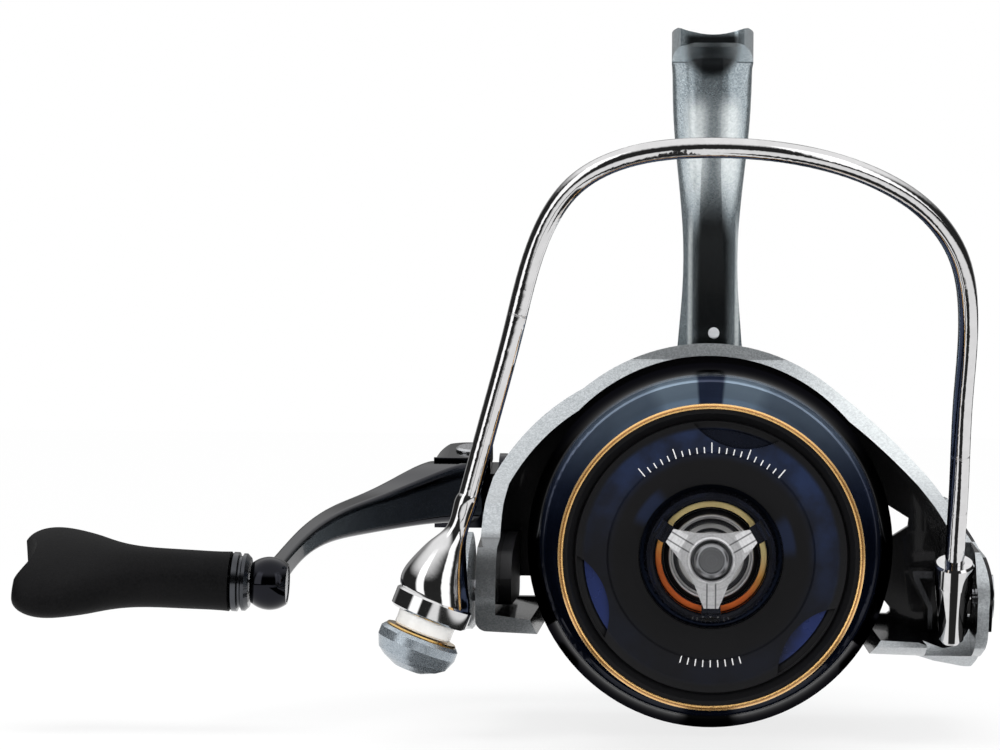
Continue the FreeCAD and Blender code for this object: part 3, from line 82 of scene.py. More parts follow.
class Socket:
    """A value in a node tree. Python's own signs add Math nodes, and node() adds any other node."""

    def __init__(self, tree, end=None):
        self.tree = tree
        self.end = end

    def node(self, kind, settings=None, values=None, take=0):
        made = self.tree.nodes.new("ShaderNode" + kind)
        for key, setting in (settings or {}).items():
            if key == "stops":
                stops = made.color_ramp.elements
                stops[0].position, stops[0].color = setting[0][0], (*setting[0][1], 1)
                stops[1].position, stops[1].color = setting[-1][0], (*setting[-1][1], 1)
                for at, tint in setting[1:-1]:
                    stops.new(at).color = (*tint, 1)
            else:
                setattr(made, key, setting)
        for key, value in (values or {}).items():
            if isinstance(value, Socket):
                self.tree.links.new(value.end, made.inputs[key])
            elif made.inputs[key].type == "RGBA":
                made.inputs[key].default_value = (*value, 1)
            else:
                made.inputs[key].default_value = value
        return Socket(self.tree, made.outputs[take]) if made.outputs else None

    def maths(self, operation, first, second=0.0):
        return self.node("Math", {"operation": operation}, {0: first, 1: second})

    def __add__(self, other):
        return self.maths("ADD", self, other)

    def __sub__(self, other):
        return self.maths("SUBTRACT", self, other)

    def __mul__(self, other):
        return self.maths("MULTIPLY", self, other)

    def __truediv__(self, other):
        return self.maths("DIVIDE", self, other)

    def __pow__(self, other):
        return self.maths("POWER", self, other)

    def __rsub__(self, other):
        return self.maths("SUBTRACT", other, self)

    __radd__ = __add__
    __rmul__ = __mul__

    def __abs__(self):
        return self.maths("ABSOLUTE", self)

    def step(self, low, high):
        """Rises smoothly from 0 at low to 1 at high, or falls where high is the smaller."""
        if low > high:
            return 1 - self.step(high, low)
        return self.node(
            "MapRange",
            {"interpolation_type": "SMOOTHSTEP"},
            {"Value": self, "From Min": low, "From Max": high},
        )

    def parts(self):
        """The three numbers of a vector."""
        return [self.node("SeparateXYZ", values={0: self}, take=n) for n in range(3)]

    def mix(self, first, second):
        """The first colour where this is 0 and the second where it is 1."""
        return self.node("Mix", {"data_type": "RGBA"}, {0: self, 6: first, 7: second}, take=2)


def new_tree(holder):
    """Empty a material's or world's node tree and give it as a Socket to build on."""
    holder.use_nodes = True
    holder.node_tree.nodes.clear()
    return Socket(holder.node_tree)


room = bpy.data.worlds.new("room")
scene.world = room
air = new_tree(room)
across, along, up = air.node("TexCoord", take="Generated").parts()
# turn is the angle from straight ahead of the spool, in radians, and up the sine of the rise.
turn = air.maths("ARCTAN2", abs(across), 0 - along)
boxes = turn.step(0.50, 0.60) * turn.step(1.15, 0.98) * abs(up).step(0.80, 0.60)
ceiling = up.step(0.42, 0.75)
ground = up.step(-0.60, -0.85)
behind = turn.step(2.2, 2.5) * abs(up).step(0.75, 0.5)
dark_wall, even_light = 0.02, 0.75
reflected = dark_wall + 1.35 * boxes + 0.95 * ceiling + 0.6 * ground + 0.25 * behind
seen = air.node("LightPath", take="Is Camera Ray")
glossy = air.node("LightPath", take="Is Glossy Ray")
level = seen + (1 - seen) * (glossy * reflected + (1 - glossy) * even_light)
air.node("OutputWorld", values={0: air.node("Background", values={"Color": level})})

lit_spot = Vector((0, 0, -0.08))
for name, place, width, height, energy in (
    ("softbox_left", (-1.25, -1.05, 0.1), 0.5, 1.6, 14.0),
    ("softbox_right", (1.25, -1.0, 0.1), 0.5, 1.6, 14.0),
    ("softbox_above", (0.0, -0.25, 1.3), 1.2, 0.8, 12.0),
):
    lamp = bpy.data.objects.new(name, bpy.data.lights.new(name, "AREA"))
    lamp.data.shape = "RECTANGLE"
    lamp.data.size, lamp.data.size_y = width, height
    lamp.data.energy = energy
    lamp.data.specular_factor = 0.0
    lamp.location = place
    lamp.rotation_mode = "QUATERNION"
    lamp.rotation_quaternion = (lit_spot - Vector(place)).to_track_quat("-Z", "Y")
    lamp.visible_glossy = False
    scene.collection.objects.link(lamp)

floor_gap = 0.002
floor_height = cad_box[0].z - floor_gap
corners = [(x, y, floor_height) for x, y in ((-3, -2), (3, -2), (3, 4), (-3, 4))]
floor_mesh = bpy.data.meshes.new("floor")
floor_mesh.from_pydata(corners, [], [(0, 1, 2, 3)])
floor = bpy.data.objects.new("floor", floor_mesh)
scene.collection.objects.link(floor)

# The chrome mirrors the sheet as a white card, with a dark stripe under the spool's axis and a dark
# patch under each straight side of the wire, which widens towards the front.
paper = bpy.data.materials.new("paper")
floor_mesh.materials.append(paper)
sheet = new_tree(paper)
seen = sheet.node("LightPath", take="Is Camera Ray")
glossy = sheet.node("LightPath", take="Is Glossy Ray")
sheet_x, sheet_y, _ = sheet.node("TexCoord", take="Object").parts()
distance = (sheet_x ** 2 + sheet_y ** 2) ** 0.5
wire_side, wire_depth, patch_half, widening = 0.051, -0.07, 0.012, -0.20
patch_width = patch_half + widening * (sheet_y - wire_depth)
under_wire = (abs(abs(sheet_x) - wire_side) / patch_width).step(1.1, 0.9)
under_wire = under_wire * sheet_y.step(-0.19, -0.17) * sheet_y.step(-0.035, -0.05)
stripe_half, stripe_fade, card_near, card_far = 0.0045, 0.0085, 0.35, 0.60
beside_stripe = abs(sheet_x).step(stripe_half, stripe_fade)
card = beside_stripe * distance.step(card_far, card_near) * (1 - under_wire)
mirrored = sheet.node("Emission", values={"Color": 0.02 + 0.86 * card})
matt = sheet.node("BsdfDiffuse", values={"Color": (0.86, 0.86, 0.86)})
white = sheet.node("Emission", values={"Color": (1, 1, 1)})
fade = seen * (0.80 + 0.18 * distance.step(0.15, 0.55))
lit = sheet.node("MixShader", values={0: fade, 1: matt, 2: white})
sheet_face = sheet.node("MixShader", values={0: glossy, 1: lit, 2: mirrored})
sheet.node("OutputMaterial", values={0: sheet_face})

# ---------------------------------------------------------------- Cast body
# Foot, stem and gear housing are one aluminium casting, with a cover on the right. It is sprayed in
# a blue-grey metallic paint with fine flakes in it, under a thin clear coat.


def blank_finish(name):
    """A new material, its tree, and the place on the reel that its patterns follow."""
    finish = bpy.data.materials.new(name)
    tree = new_tree(finish)
    return finish, tree, tree.node("TexCoord", take="Object")


def surface(
    tree, tint, metallic, roughness, normal, coat=0.0, coat_roughness=0.05, specular=0.5
):
    """Close a material with its Principled shader."""
    values = {
        "Base Color": tint,
        "Metallic": metallic,
        "Roughness": roughness,
        "Normal": normal,
        "Coat Weight": coat,
        "Coat Roughness": coat_roughness,
        "Specular IOR Level": specular,
    }
    tree.node("OutputMaterial", values={0: tree.node("BsdfPrincipled", values=values)})


def noise(tree, place, scale, detail=3.0):
    """Cloudy noise, finer with a larger scale."""
    return tree.node("TexNoise", values={"Vector": place, "Scale": scale, "Detail": detail})


def relief(tree, height, depth, strength=0.3):
    """A bump of the given depth in metres."""
    return tree.node("Bump", values={"Strength": strength, "Distance": depth, "Height": height})


def dress(finish, *names, angle=32):
    """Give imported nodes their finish, shaded smooth between edges sharper than the angle."""
    for name in names:
        mesh = nodes[name].data
        mesh.materials.clear()
        mesh.materials.append(finish)
        mesh.shade_smooth()
        mesh.set_sharp_from_angle(angle=math.radians(angle))


def flaked(name, dark, pale, roughness, metallic, shade=None):
    """Metallic paint: fine grains of two tones, each leaning its own way, under a clear coat.

    shade(tree, place) gives where painted shade darkens the paint and where painted highlights lift
    it.
    """
    paint, tree, place = blank_finish(name)
    flakes = tree.node(
        "TexVoronoi", {"feature": "F1"}, {"Vector": place, "Scale": 4200.0}, take="Color"
    )
    lean = tree.node("SeparateColor", values={0: flakes}, take=0)
    cloud = noise(tree, place, 70.0)
    grain = noise(tree, place, 1500.0, 2.0)
    tint = (0.40 * lean + 0.35 * grain + 0.25 * cloud).step(0.1, 0.9).mix(dark, pale)
    coat = 0.35
    if shade:
        # Painted highlights lift the tint towards white and thin the metal; painted shade takes it
        # near black and takes the coat off.
        painted_shade, painted_highlight = shade(tree, place)
        tint = (painted_highlight * (0.25 + 1.1 * grain)).mix(tint, (0.95, 1.0, 1.0))
        tint = painted_shade.mix(tint, tuple(0.02 * c for c in pale))
        coat = coat * (1 - painted_shade)
        metallic = metallic * (1 - 0.6 * painted_highlight)
    normal = relief(tree, lean + grain, 0.00002)
    surface(tree, tint, metallic, roughness + 0.08 * lean, normal, coat, 0.06)
    return paint


def stem_front(tree, place):
    """Painted shade low on the stem's front and in the hollow under the foot, and painted
    highlights in between.
    """
    stem_middle, front_end, side_start = 0.0004, 0.009, 0.012
    width, depth, height = place.parts()
    ahead = depth.step(side_start, front_end)
    off_middle = abs(width - stem_middle)

    # The low field of painted shade narrows as it rises.
    field_half, field_fade, field_top, field_full = 0.0027, 0.0060, -0.027, -0.041
    narrow_from, narrowing = -0.044, 0.14
    narrowed = off_middle + tree.maths("MAXIMUM", narrowing * (height - narrow_from), 0.0)
    field = narrowed.step(field_fade, field_half) * height.step(field_top, field_full)

    # The painted shade in the hollow is round below and reaches up to the saddle.
    hollow_radius, hollow_fade, saddle_low, saddle_edge = 0.0048, 0.0071, -0.0008, 0.0010
    drop = tree.maths("MAXIMUM", -0.9 * height - 0.0010, 0.0)
    hollow = (width * width + drop * drop).step(hollow_fade ** 2, hollow_radius ** 2)
    hollow = hollow * height.step(saddle_edge, saddle_low)
    painted_shade = 0.98 * ahead * tree.maths("MAXIMUM", field, hollow)

    # Two lobes of painted highlight have a duller valley between them.
    lobe_side, lobe_core, lobe_fade = 0.0038, 0.0004, 0.0036
    valley_core, valley_fade = 0.0010, 0.0040
    lobes = abs(off_middle - lobe_side).step(lobe_fade, lobe_core)
    lobes = lobes + 0.25 * off_middle.step(valley_fade, valley_core)
    lobes = lobes * height.step(-0.0100, -0.0160) * height.step(-0.040, -0.024)

    # A painted highlight runs down each edge beside the field of painted shade.
    edge_middle, edge_side, edge_core, edge_fade = 0.0008, 0.0054, 0.0002, 0.0008
    edges = abs(abs(width - edge_middle) - edge_side).step(edge_fade, edge_core)
    edges = 0.8 * edges * height.step(-0.034, -0.044)
    painted_highlight = 0.9 * ahead * tree.maths("MAXIMUM", lobes, edges)
    return painted_shade, painted_highlight


# On the stem's front, stem_front adds painted shade and painted highlights to this paint.
gunmetal = flaked("gunmetal", (0.22, 0.275, 0.31), (0.60, 0.68, 0.72), 0.17, 0.75, stem_front)
dress(gunmetal, "body_frame", "side_cover")

# ---------------------------------------------------------------- Stem screw and cover screws
# Small steel pan-head screws, turned and plated. The cover's five have a cross recess pressed into
# the head, and the one in the stem's front is a plain domed plug.

spool_turn = next(joint for joint in frame["joints"] if joint["name"] == "spool_slip")
axis_height = spool_turn["pos_m"][2]
spool_axis = (0, 0, axis_height)


def turned_metal(name, colour, roughness, centre, along=1, scale=2600.0, metallic=1.0):
    """Machined metal: rings round an axis through the centre, and a faint unevenness over them."""
    metal, tree, place = blank_finish(name)
    offsets = [p - c for p, c in zip(place.parts(), centre)]
    depth = offsets.pop(along)
    radius = (offsets[0] ** 2 + offsets[1] ** 2) ** 0.5
    rings = tree.node("CombineXYZ", values={0: radius + 0.35 * depth, 1: 0.35 * depth, 2: 0.0})
    marks = noise(tree, rings, scale, 2.0)
    cloud = noise(tree, place, 180.0)
    low = tuple(c * 0.86 for c in colour)
    high = tuple(min(1.0, c * 1.10) for c in colour)
    tint = (0.6 * marks + 0.4 * cloud).step(0.3, 0.7).mix(low, high)
    surface(tree, tint, metallic, roughness + 0.10 * marks, relief(tree, marks, 0.00001, 0.25))
    return metal


bright_steel = turned_metal("bright_steel", (0.62, 0.63, 0.66), 0.20, spool_axis)
dress(bright_steel, "cover_screws")
screw_plate = turned_metal("screw_plate", (0.80, 0.82, 0.85), 0.25, spool_axis, metallic=0.35)
dress(screw_plate, "stem_screw")

# The cross recesses are drawn as thin dark slabs on the screw heads, painted shade in place of cut
# recesses.
screw_recess, tree, place = blank_finish("screw_recess")
recess_mottle = noise(tree, place, 3000.0)
tint = recess_mottle.step(0.3, 0.7).mix((0.012, 0.012, 0.014), (0.05, 0.05, 0.055))
surface(tree, tint, 1.0, 0.45 + 0.2 * recess_mottle, relief(tree, recess_mottle, 0.00002))


def islands(mesh):
    """The middles of a mesh's separate solids."""
    around = {v.index: set() for v in mesh.vertices}
    for edge in mesh.edges:
        first, second = edge.vertices
        around[first].add(second)
        around[second].add(first)
    middles = []
    while around:
        start, linked = around.popitem()
        found, queue = [start], list(linked)
        while queue:
            index = queue.pop()
            if index in around:
                found.append(index)
                queue.extend(around.pop(index))
        spots = {tuple(round(c, 6) for c in mesh.vertices[i].co) for i in found}  # seams join
        middles.append(sum((Vector(s) for s in spots), Vector()) / len(spots))
    return middles


def piece(name, built, finish, body):
    """Turn a bmesh into a piece of the reel that rides on a body."""
    mesh = bpy.data.meshes.new(name)
    built.to_mesh(mesh)
    built.free()
    mesh.materials.append(finish)
    made = bpy.data.objects.new(name, mesh)
    scene.collection.objects.link(made)
    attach(made, body)


def block(built, sizes, matrix):
    """Add a box of the given sizes, placed by the matrix."""
    bmesh.ops.create_cube(built, size=1.0, matrix=matrix @ Matrix.Diagonal((*sizes, 1)))


slot_width, slot_length, slot_rise = 0.0006, 0.0021, 0.00003
slot_turn = Matrix.Rotation(math.radians(25), 4, "X")
head_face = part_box("cover_screws")[1].x
recesses = bmesh.new()
for middle in islands(nodes["cover_screws"].data):
    head = Matrix.Translation((head_face + slot_rise / 2, middle.y, middle.z))
    for slot_sides in ((slot_width, slot_length), (slot_length, slot_width)):
        block(recesses, (slot_rise, *slot_sides), head @ slot_turn)
piece("screw_recesses", recesses, screw_recess, "reel_body")

# ---------------------------------------------------------------- Rear guard and side cap
# The guard is a moulded nylon bumper, snapped over the housing's rear corner. The cap is a turned
# and lacquered aluminium plug, which screws into the right-hand hole of the crank.


def moulded(name, colour, roughness, grain_scale=1800.0, depth=0.00002, coat=0.0, spread=0.25):
    """Plastic, rubber or ceramic with a fine even grain and slight cloudiness."""
    plastic, tree, place = blank_finish(name)
    grain = noise(tree, place, grain_scale)
    cloud = noise(tree, place, 45.0)
    low = tuple(c * (1 - spread) for c in colour)
    high = tuple(min(1.0, c * (1 + spread)) for c in colour)
    tint = (0.5 * grain + 0.5 * cloud).step(0.3, 0.7).mix(low, high)
    normal = relief(tree, grain, depth, 0.35)
    surface(tree, tint, 0.0, roughness + 0.12 * grain, normal, coat, 0.06)
    return plastic


guard_nylon = moulded("guard_nylon", (0.012, 0.012, 0.014), 0.42)
dress(guard_nylon, "rear_guard")


def lacquered(name, colour, roughness, mottle_scale, coat=0.6, metallic=1.0):
    """Dark anodised or lacquered aluminium, faintly mottled in its depth, with a glossy top."""
    lacquer, tree, place = blank_finish(name)
    mottle = noise(tree, place, mottle_scale, 4.0)
    fine = noise(tree, place, 2400.0, 2.0)
    lifted = tuple(c * 1.6 for c in colour)
    tint = (0.75 * mottle + 0.25 * fine).step(0.3, 0.72).mix(colour, lifted)
    normal = relief(tree, fine, 0.000004, 0.2)
    surface(tree, tint, metallic, roughness + 0.06 * mottle, normal, coat, 0.03)
    return lacquer


crank_lacquer = lacquered("crank_lacquer", (0.022, 0.025, 0.042), 0.12, 160.0)
dress(crank_lacquer, "side_cap")

# ---------------------------------------------------------------- Gears, shafts and bearings
# The crank turns a zinc face gear, which drives a brass pinion and a steel worm. The worm's slider
# pushes the spool shaft to and fro. Steel ball bearings carry the crank shaft and the pinion.

shaft_steel = turned_metal("shaft_steel", (0.60, 0.61, 0.63), 0.16, spool_axis)
dress(shaft_steel, "main_shaft", "guide_rod", "worm_shaft", "pinion_bearings", "one_way_clutch")
dress(shaft_steel, "clutch_retainer", "clutch_sleeve", "rotor_nut", "spool_bearings")


def middle_of(name):
    """The middle of a node's box."""
    low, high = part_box(name)
    return tuple((low + high) / 2)


crank_steel = turned_metal(
    "crank_steel", (0.58, 0.59, 0.61), 0.18, middle_of("gear_shaft"), along=0
)
dress(crank_steel, "crank_bearings", "gear_shaft", "drive_gear", "roller_bearing")
dress(crank_steel, "knob_bearings", "knob_axle")

gear_brass = turned_metal("gear_brass", (0.66, 0.45, 0.18), 0.20, spool_axis)
dress(gear_brass, "pinion_gear", "slider_block", "drag_nut")

shaft_plastic = moulded("shaft_plastic", (0.045, 0.045, 0.05), 0.45)
dress(shaft_plastic, "click_gear", "spool_support", "knob_end_cap")

# ---------------------------------------------------------------- Rotor
# The rotor is one aluminium casting: a cup with two arms joined by an arch at the back. Its rim and
# the outsides of its arms are painted silver. Its web, cup and the faces that turn neither outward
# nor forward are gloss black as painted shade, standing in for the dark room they mirror.


def arm_bend(tree, place):
    """Painted shade below the left arm's crease, deepest at the bend, and a painted highlight on
    the right of the arch.
    """
    arm_inside, arm_outside, crease_top, crease_low = -0.034, -0.038, -0.1085, -0.1100
    bend_height, bend_core, bend_fade = -0.1155, 0.0010, 0.0055
    width, _, height = place.parts()
    below_crease = width.step(arm_inside, arm_outside) * height.step(crease_top, crease_low)
    bend = abs(height - bend_height).step(bend_fade, bend_core)
    right_arch = width.step(0.012, 0.034) * height.step(-0.104, -0.094)
    return below_crease * (0.50 + 0.40 * bend), 0.5 * right_arch


def paint_faces(name, finish, chosen):
    """Give a node's faces a second finish where chosen(face) holds."""
    mesh = nodes[name].data
    mesh.materials.append(finish)
    for face in mesh.polygons:
        face.material_index = int(chosen(face))


# Through arm_bend the silver carries painted shade below the left arm's crease and a painted
# highlight on the arch's right.
satin_silver = flaked(
    "satin_silver", (0.33, 0.355, 0.375), (0.64, 0.67, 0.69), 0.28, 0.65, arm_bend
)
painted_shade_black = lacquered("painted_shade_black", (0.003, 0.003, 0.004), 0.14, 90.0, coat=0.35, metallic=0.5)
cup_radius, web_front = 0.0400, -0.0030
least_outward, least_forward, web_forward = 0.25, 0.3, 0.9


def in_painted_shade(face):
    """Faces taking painted shade: the cup, the web, and faces that turn neither outward nor
    forward.
    """
    outward = Vector((face.center.x, 0, face.center.z - axis_height))
    faces_out = face.normal.dot(outward.normalized()) > least_outward
    faces_front = face.normal.y < -least_forward
    web = face.center.y > web_front and face.normal.y < -web_forward
    return web or outward.length <= cup_radius or not (faces_out or faces_front)


dress(satin_silver, "rotor_frame", angle=28)
paint_faces("rotor_frame", painted_shade_black, in_painted_shade)

# ---------------------------------------------------------------- Arm covers, lever and pivots
# Thin covers close the hollow arms: black nylon on the left, and painted aluminium over the right
# arm's outside. Shouldered steel screws hold the bail, and a small coil spring snaps it over.

dress(guard_nylon, "left_arm_cover")
cover_paint = flaked("cover_paint", (0.27, 0.295, 0.315), (0.55, 0.58, 0.60), 0.26, 0.65)
dress(cover_paint, "right_arm_cover", angle=28)
# The right cover's faces that turn to the front take the gloss black as painted shade.
paint_faces("right_arm_cover", painted_shade_black, lambda face: face.normal.y < -0.5)

pivot_centre = middle_of("bail_pivot_screws")
for name, colour, roughness, node in (
    ("pivot_steel", (0.60, 0.61, 0.64), 0.18, "bail_pivot_screws"),
    ("lever_steel", (0.16, 0.165, 0.175), 0.16, "bail_trip_lever"),
    ("spring_wire", (0.45, 0.46, 0.48), 0.22, "bail_spring"),
):
    dress(turned_metal(name, colour, roughness, pivot_centre, along=0), node)

# ---------------------------------------------------------------- Bail
# A forged arm and a horn hold one end of the bent stainless wire, and a ferrule with a swivel
# holder the other. All but the arm are chromed and polished.


def plated(name, colour, roughness=0.03):
    """Polished plate, with polishing haze that is just visible."""
    plate, tree, place = blank_finish(name)
    haze = noise(tree, place, 400.0)
    tint = haze.step(0.35, 0.7).mix(tuple(c * 0.94 for c in colour), colour)
    surface(tree, tint, 1.0, roughness + 0.05 * haze, relief(tree, haze, 0.000002, 0.15))
    return plate


bail_chrome = plated("bail_chrome", (0.80, 0.795, 0.80))
dress(bail_chrome, "bail_horn", "bail_wire", "wire_ferrule", "bail_holder", angle=40)
arm_paint = flaked("arm_paint", (0.25, 0.285, 0.31), (0.50, 0.54, 0.57), 0.22, 0.7)
dress(arm_paint, "bail_arm")

# ---------------------------------------------------------------- Line roller
# A white zirconia sleeve on a ball bearing guides the line. A gold-plated bush stands behind it and
# a domed, painted cap in front. One screw through the horn's collar holds them.

zirconia = moulded("zirconia", (0.80, 0.80, 0.79), 0.10, 900.0, 0.000004, coat=0.3, spread=0.03)
dress(zirconia, "line_roller")
bush_plate = turned_metal("bush_plate", (0.86, 0.56, 0.20), 0.10, middle_of("line_roller"))
dress(bush_plate, "roller_bush")
cap_paint = flaked("cap_paint", (0.27, 0.315, 0.36), (0.50, 0.56, 0.61), 0.24, 0.80)
dress(cap_paint, "roller_cap")

# ---------------------------------------------------------------- Spool
# The spool is turned from aluminium and anodised glossy navy. A gold-anodised ring is pressed on
# its front lip, and a dark plate with printed marks closes its face. The clip is a moulded hook.


def round_axis(place):
    """Across, along and above the spool's axis, and the distance from it."""
    x, y, z = place.parts()
    above = z - axis_height
    return x, y, above, (x ** 2 + above ** 2) ** 0.5


navy, tree, place = blank_finish("navy")
x, y, above, radius = round_axis(place)
rings = noise(tree, tree.node("CombineXYZ", values={0: radius * 8, 1: y, 2: 0.0}), 900.0, 2.0)
mottle = noise(tree, place, 130.0, 4.0)
tint = (0.7 * mottle + 0.3 * rings).step(0.3, 0.7)
tint = tint.mix((0.022, 0.031, 0.062), (0.040, 0.055, 0.105))
# Painted sheen lights the rear flange either side of a dark bar at the top, and painted shade
# darkens its sides.
from_top = abs(tree.maths("ARCTAN2", x, above))
cone_end, flange_start, bar_half, bar_fade = -0.0620, -0.0600, 0.07, 0.10
flange = y.step(cone_end, flange_start)
painted_dusk = flange * from_top.step(0.75, 1.60)
pale = 0.75 * from_top.step(0.42, 0.24) + 0.55 * from_top.step(1.25, 0.45)
painted_sheen = flange * from_top.step(bar_half, bar_fade) * pale * (0.55 + 0.7 * mottle)
tint = painted_dusk.mix(tint, (0.0030, 0.0050, 0.0130))
tint = painted_sheen.mix(tint, (0.25, 0.33, 0.42))
# The skirt behind it is black.
flange_radius, skirt_radius = 0.0362, 0.0368
skirt = radius.step(flange_radius, skirt_radius)
tint = skirt.mix(tint, (0.003, 0.003, 0.0045))
metallic = 1 - 0.45 * flange * (1 - skirt)
# The coat thins under the painted shade.
coat = 0.25 * (1 - skirt) * (1 - 0.85 * painted_dusk)
normal = relief(tree, rings, 0.000003, 0.2)
surface(tree, tint, metallic, 0.10 + 0.08 * rings, normal, coat, 0.03)
dress(navy, "spool_body", angle=25)

lip_gold, tree, place = blank_finish("lip_gold")
x, y, above, radius = round_axis(place)
grain = noise(tree, place, 900.0)
# The dark ring at the groove's radius is painted shade in the groove.
groove_radius, groove_core, groove_fade = 0.03022, 0.00006, 0.00020
groove_shade = abs(radius - groove_radius).step(groove_fade, groove_core)
tint = (0.70 * groove_shade + 0.20 * grain).step(0.1, 0.9)
tint = tint.mix((0.95, 0.58, 0.22), (0.42, 0.17, 0.04))
surface(tree, tint, 0.75, 0.22 + 0.10 * grain, relief(tree, grain, 0.000004, 0.2))
dress(lip_gold, "lip_ring")

plate_dark, tree, place = blank_finish("plate_dark")
x, y, above, radius = round_axis(place)
mottle = noise(tree, place, 190.0, 6.0)
broad = noise(tree, place, 60.0, 2.0)
cloudy = (0.6 * mottle + 0.4 * broad).step(0.38, 0.66)
# A navy band runs round the plate, made strongest above by painted light, and two painted
# reflections lie inside it as short patches.
painted_top_light = (above + 0.25 * x).step(-0.012, 0.020)
band = radius.step(0.0190, 0.0225) * radius.step(0.0262, 0.0252) * (0.12 + 0.88 * painted_top_light)
bearing = tree.maths("ARCTAN2", above, x)
right_patch, left_patch, patch_core, patch_fade = 0.26, 2.48, 0.12, 0.30
right = abs(bearing - right_patch).step(patch_fade, patch_core)
left = abs(bearing - left_patch).step(patch_fade, patch_core)
painted_reflections = 0.55 * (right + left) * radius.step(0.0143, 0.0147) * radius.step(0.0175, 0.0165)
tint = (band * (0.25 + 0.75 * cloudy) + painted_reflections).mix(
    (0.0080, 0.0080, 0.0088), (0.014, 0.024, 0.062)
)
normal = relief(tree, mottle, 0.00001, 0.2)
surface(tree, tint, 0.0, 0.30 + 0.15 * mottle, normal, specular=0.12)


def reach(face):
    """How far a face lies from the spool's axis."""
    return math.hypot(face.center.x, face.center.z - axis_height)


lip_radius, well_floor = 0.0300, -0.0980
dress(plate_dark, "front_plate", angle=20)
# The well's wall inside the lip takes the dark plate finish as painted shade.
paint_faces(
    "spool_body",
    plate_dark,
    lambda face: reach(face) < lip_radius and face.center.y < well_floor,
)

scoop_blue, tree, place = blank_finish("scoop_blue")
x, y, above, radius = round_axis(place)
mottle = noise(tree, place, 260.0, 4.0)
scoop_bearings, scoop_half_angle = (79, 199, 319), 24
scoop_inner, scoop_outer, scoop_floor = 0.0218, 0.0272, -0.1013
# A painted glow lifts the sunk faces from near black to blue towards the plate's sides and bottom.
painted_glow = (abs(x) - 0.3 * above + 0.006 * mottle).step(0.0215, 0.0275)
tint = painted_glow.mix((0.004, 0.006, 0.014), (0.011, 0.024, 0.115))
surface(tree, tint, 0.3, 0.22 + 0.10 * mottle, relief(tree, mottle, 0.000004, 0.2))


def in_scoop(face):
    """The sunk faces of the three finger scoops in the plate's rim."""
    bearing = math.degrees(math.atan2(face.center.z - axis_height, face.center.x))
    turns_away = min(abs((bearing - scoop + 180) % 360 - 180) for scoop in scoop_bearings)
    sunk = face.center.y > scoop_floor
    return turns_away < scoop_half_angle and sunk and scoop_inner < reach(face) < scoop_outer


paint_faces("front_plate", scoop_blue, in_scoop)

tick_ink, tree, place = blank_finish("tick_ink")
grain = noise(tree, place, 5000.0)
tint = grain.step(0.3, 0.7).mix((0.62, 0.62, 0.63), (0.82, 0.82, 0.82))
surface(tree, tint, 0.0, 0.5 + 0.1 * grain, relief(tree, grain, 0.000005))
tick_inner, tick_width, tick_thick, plate_face = 0.0208, 0.00022, 0.00004, -0.1015
long_tick, short_tick, low_tick, tick_step = 0.0021, 0.0012, 0.0014, 4
marks = [(at, low_tick) for at in range(254, 287, tick_step)]
marks += [(at, short_tick if (at - 90) % 20 else long_tick) for at in range(50, 131, tick_step)]
plate_middle = Matrix.Translation((0, plate_face, axis_height))
ticks = bmesh.new()
for bearing, length in marks:
    turned = plate_middle @ Matrix.Rotation(-math.radians(bearing), 4, "Y")
    outwards = Matrix.Translation((tick_inner + length / 2, -tick_thick / 2, 0))
    block(ticks, (length, tick_thick, tick_width), turned @ outwards)
piece("plate_ticks", ticks, tick_ink, "spool")

clip_plastic = moulded("clip_plastic", (0.015, 0.015, 0.017), 0.25, coat=0.3)
dress(clip_plastic, "line_clip")

# ---------------------------------------------------------------- Drag stack
# Felt and steel washers lie in the spool's well under a wire clip. The drag knob squeezes them
# through two coned spring washers.

felt = moulded("felt", (0.13, 0.13, 0.14), 0.85, 2600.0, 0.00006)
dress(felt, "drag_washers")
dress(shaft_steel, "drag_retainer", "drag_spring")

# ---------------------------------------------------------------- Drag knob
# A dark lacquered cap with three lugs screws onto the shaft by a brass nut. A polished gold ring
# lies in its dish, and fingers turn it by a satin three-armed spider with a round button.

knob_lacquer = lacquered(
    "knob_lacquer", (0.010, 0.011, 0.016), 0.16, 200.0, coat=1.0, metallic=0.6
)
dress(knob_lacquer, "drag_knob_cap", angle=28)

drag_gold, tree, place = blank_finish("drag_gold")
x, y, above, radius = round_axis(place)
rings = noise(tree, tree.node("CombineXYZ", values={0: radius, 1: 0.0, 2: 0.0}), 3000.0, 2.0)
# Painted light: pale yellow at the top, where the ring would mirror the ceiling, turning orange-red
# lower down as painted shade.
painted_light_fall = (above + 0.35 * x + 0.0012 * rings).step(0.006, -0.006)
lit_to_shaded_amber = [(0.0, (1.0, 0.80, 0.36)), (0.5, (1.0, 0.46, 0.10)), (1.0, (0.85, 0.17, 0.03))]
tint = tree.node("ValToRGB", {"stops": lit_to_shaded_amber}, {0: painted_light_fall})
surface(tree, tint, 0.35, 0.24 + 0.10 * rings, relief(tree, rings, 0.000004, 0.2))
dress(drag_gold, "drag_ring")

satin_spider, tree, place = blank_finish("satin_spider")
x, y, above, radius = round_axis(place)
rings = noise(tree, tree.node("CombineXYZ", values={0: radius, 1: 0.3 * y, 2: 0.0}), 2800.0, 2.0)
blast = noise(tree, place, 2200.0)
tint = (0.5 * rings + 0.5 * blast).step(0.3, 0.7)
tint = tint.mix((0.46, 0.46, 0.47), (0.62, 0.62, 0.63))
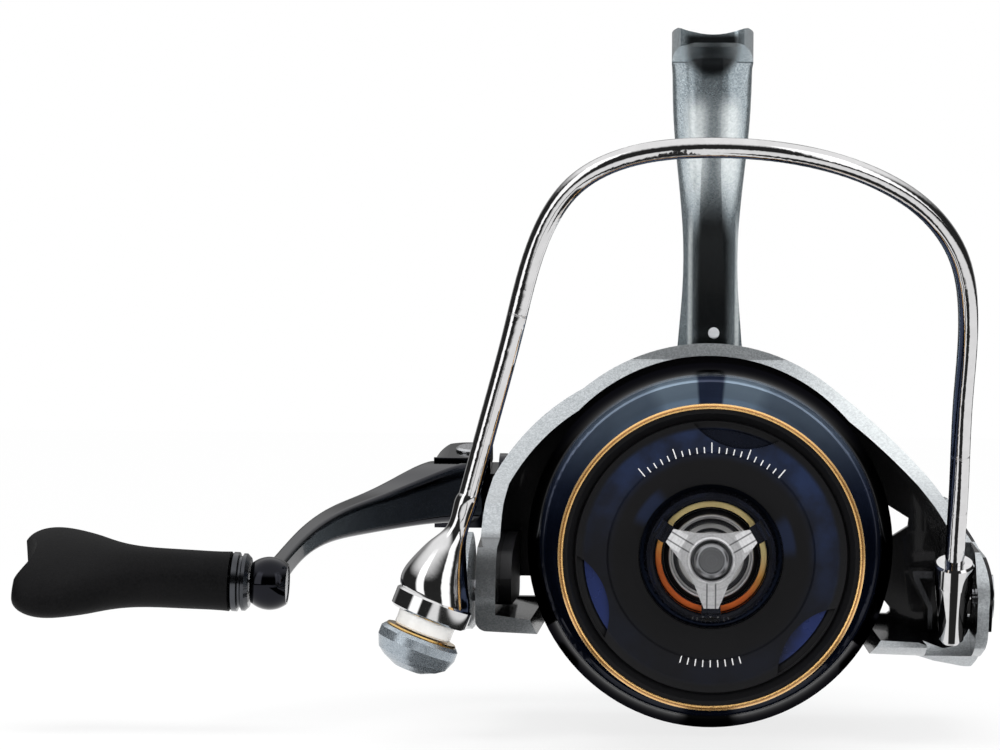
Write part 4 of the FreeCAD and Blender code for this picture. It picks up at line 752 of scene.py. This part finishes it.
# Two fine grooves run along each arm, either side of its middle, drawn as dark lines of painted
# shade.
bearing = tree.maths("ARCTAN2", above, x) - math.radians(30)
arm_range = {1: math.radians(60), 2: math.radians(-60)}
swing = tree.node("Math", {"operation": "WRAP"}, {0: bearing, **arm_range})
off_arm = abs(radius * tree.maths("SINE", swing))
groove_side, groove_core, groove_fade = 0.00085, 0.00008, 0.00022
hub_radius, arm_root = 0.0042, 0.0050
painted_groove_lines = abs(off_arm - groove_side).step(groove_fade, groove_core)
painted_groove_lines = painted_groove_lines * radius.step(hub_radius, arm_root)
tint = (0.8 * painted_groove_lines).mix(tint, (0.05, 0.05, 0.055))
# The dish behind the arms is darkened by painted shade, and painted highlights draw turned rings in
# it.
ring_pitch, arm_back, dish_front = 0.0019, -0.1075, -0.1065
dish_shade = y.step(arm_back, dish_front)
ring_highlights = tree.maths("SINE", radius * (2 * math.pi / ring_pitch)).step(-0.2, 0.3) * dish_shade
tint = dish_shade.mix(tint, (0.05, 0.05, 0.055))
tint = ring_highlights.mix(tint, (0.86, 0.85, 0.84))
surface(tree, tint, 0.6, 0.30 + 0.12 * blast, relief(tree, blast, 0.00001, 0.25))
dress(satin_spider, "drag_spider", angle=25)

button_brushed = turned_metal(
    "button_brushed", (0.34, 0.345, 0.36), 0.30, spool_axis, scale=3600.0
)
dress(button_brushed, "drag_button", angle=25)

# ---------------------------------------------------------------- Crank
# The shank screws into the gear shaft behind a plated collar. A pinned hinge lets the forged arm
# fold, and the arm ends in a ball boss for the knob's axle. All are lacquered gloss navy-black.

dress(plated("collar_plate", (0.70, 0.70, 0.72), 0.06), "shaft_collar")
arm_lacquer = lacquered("arm_lacquer", (0.0035, 0.004, 0.008), 0.06, 120.0, coat=0.4)
dress(arm_lacquer, "crank_shank", "hinge_block", "handle_arm", angle=30)
dress(crank_steel, "fold_pin")

# ---------------------------------------------------------------- Knob
# The grip is moulded foam rubber over a nylon core, with a turned collar at its neck. It runs on
# two small ball bearings on the axle.

dress(lacquered("collar_lacquer", (0.045, 0.048, 0.055), 0.20, 200.0), "knob_collar")
grip_rubber, tree, place = blank_finish("grip_rubber")
pores = tree.node("TexVoronoi", {"feature": "F1"}, {"Vector": place, "Scale": 2600.0})
grain = noise(tree, place, 1600.0, 4.0)
cloud = noise(tree, place, 60.0)
tint = (0.5 * grain + 0.5 * cloud).step(0.3, 0.7)
tint = tint.mix((0.0022, 0.0022, 0.0025), (0.0052, 0.0051, 0.0056))
normal = relief(tree, pores + 0.6 * grain, 0.00006, 0.35)
surface(tree, tint, 0.0, 0.46 + 0.20 * grain, normal, specular=0.10)
dress(grip_rubber, "knob_grip", angle=40)
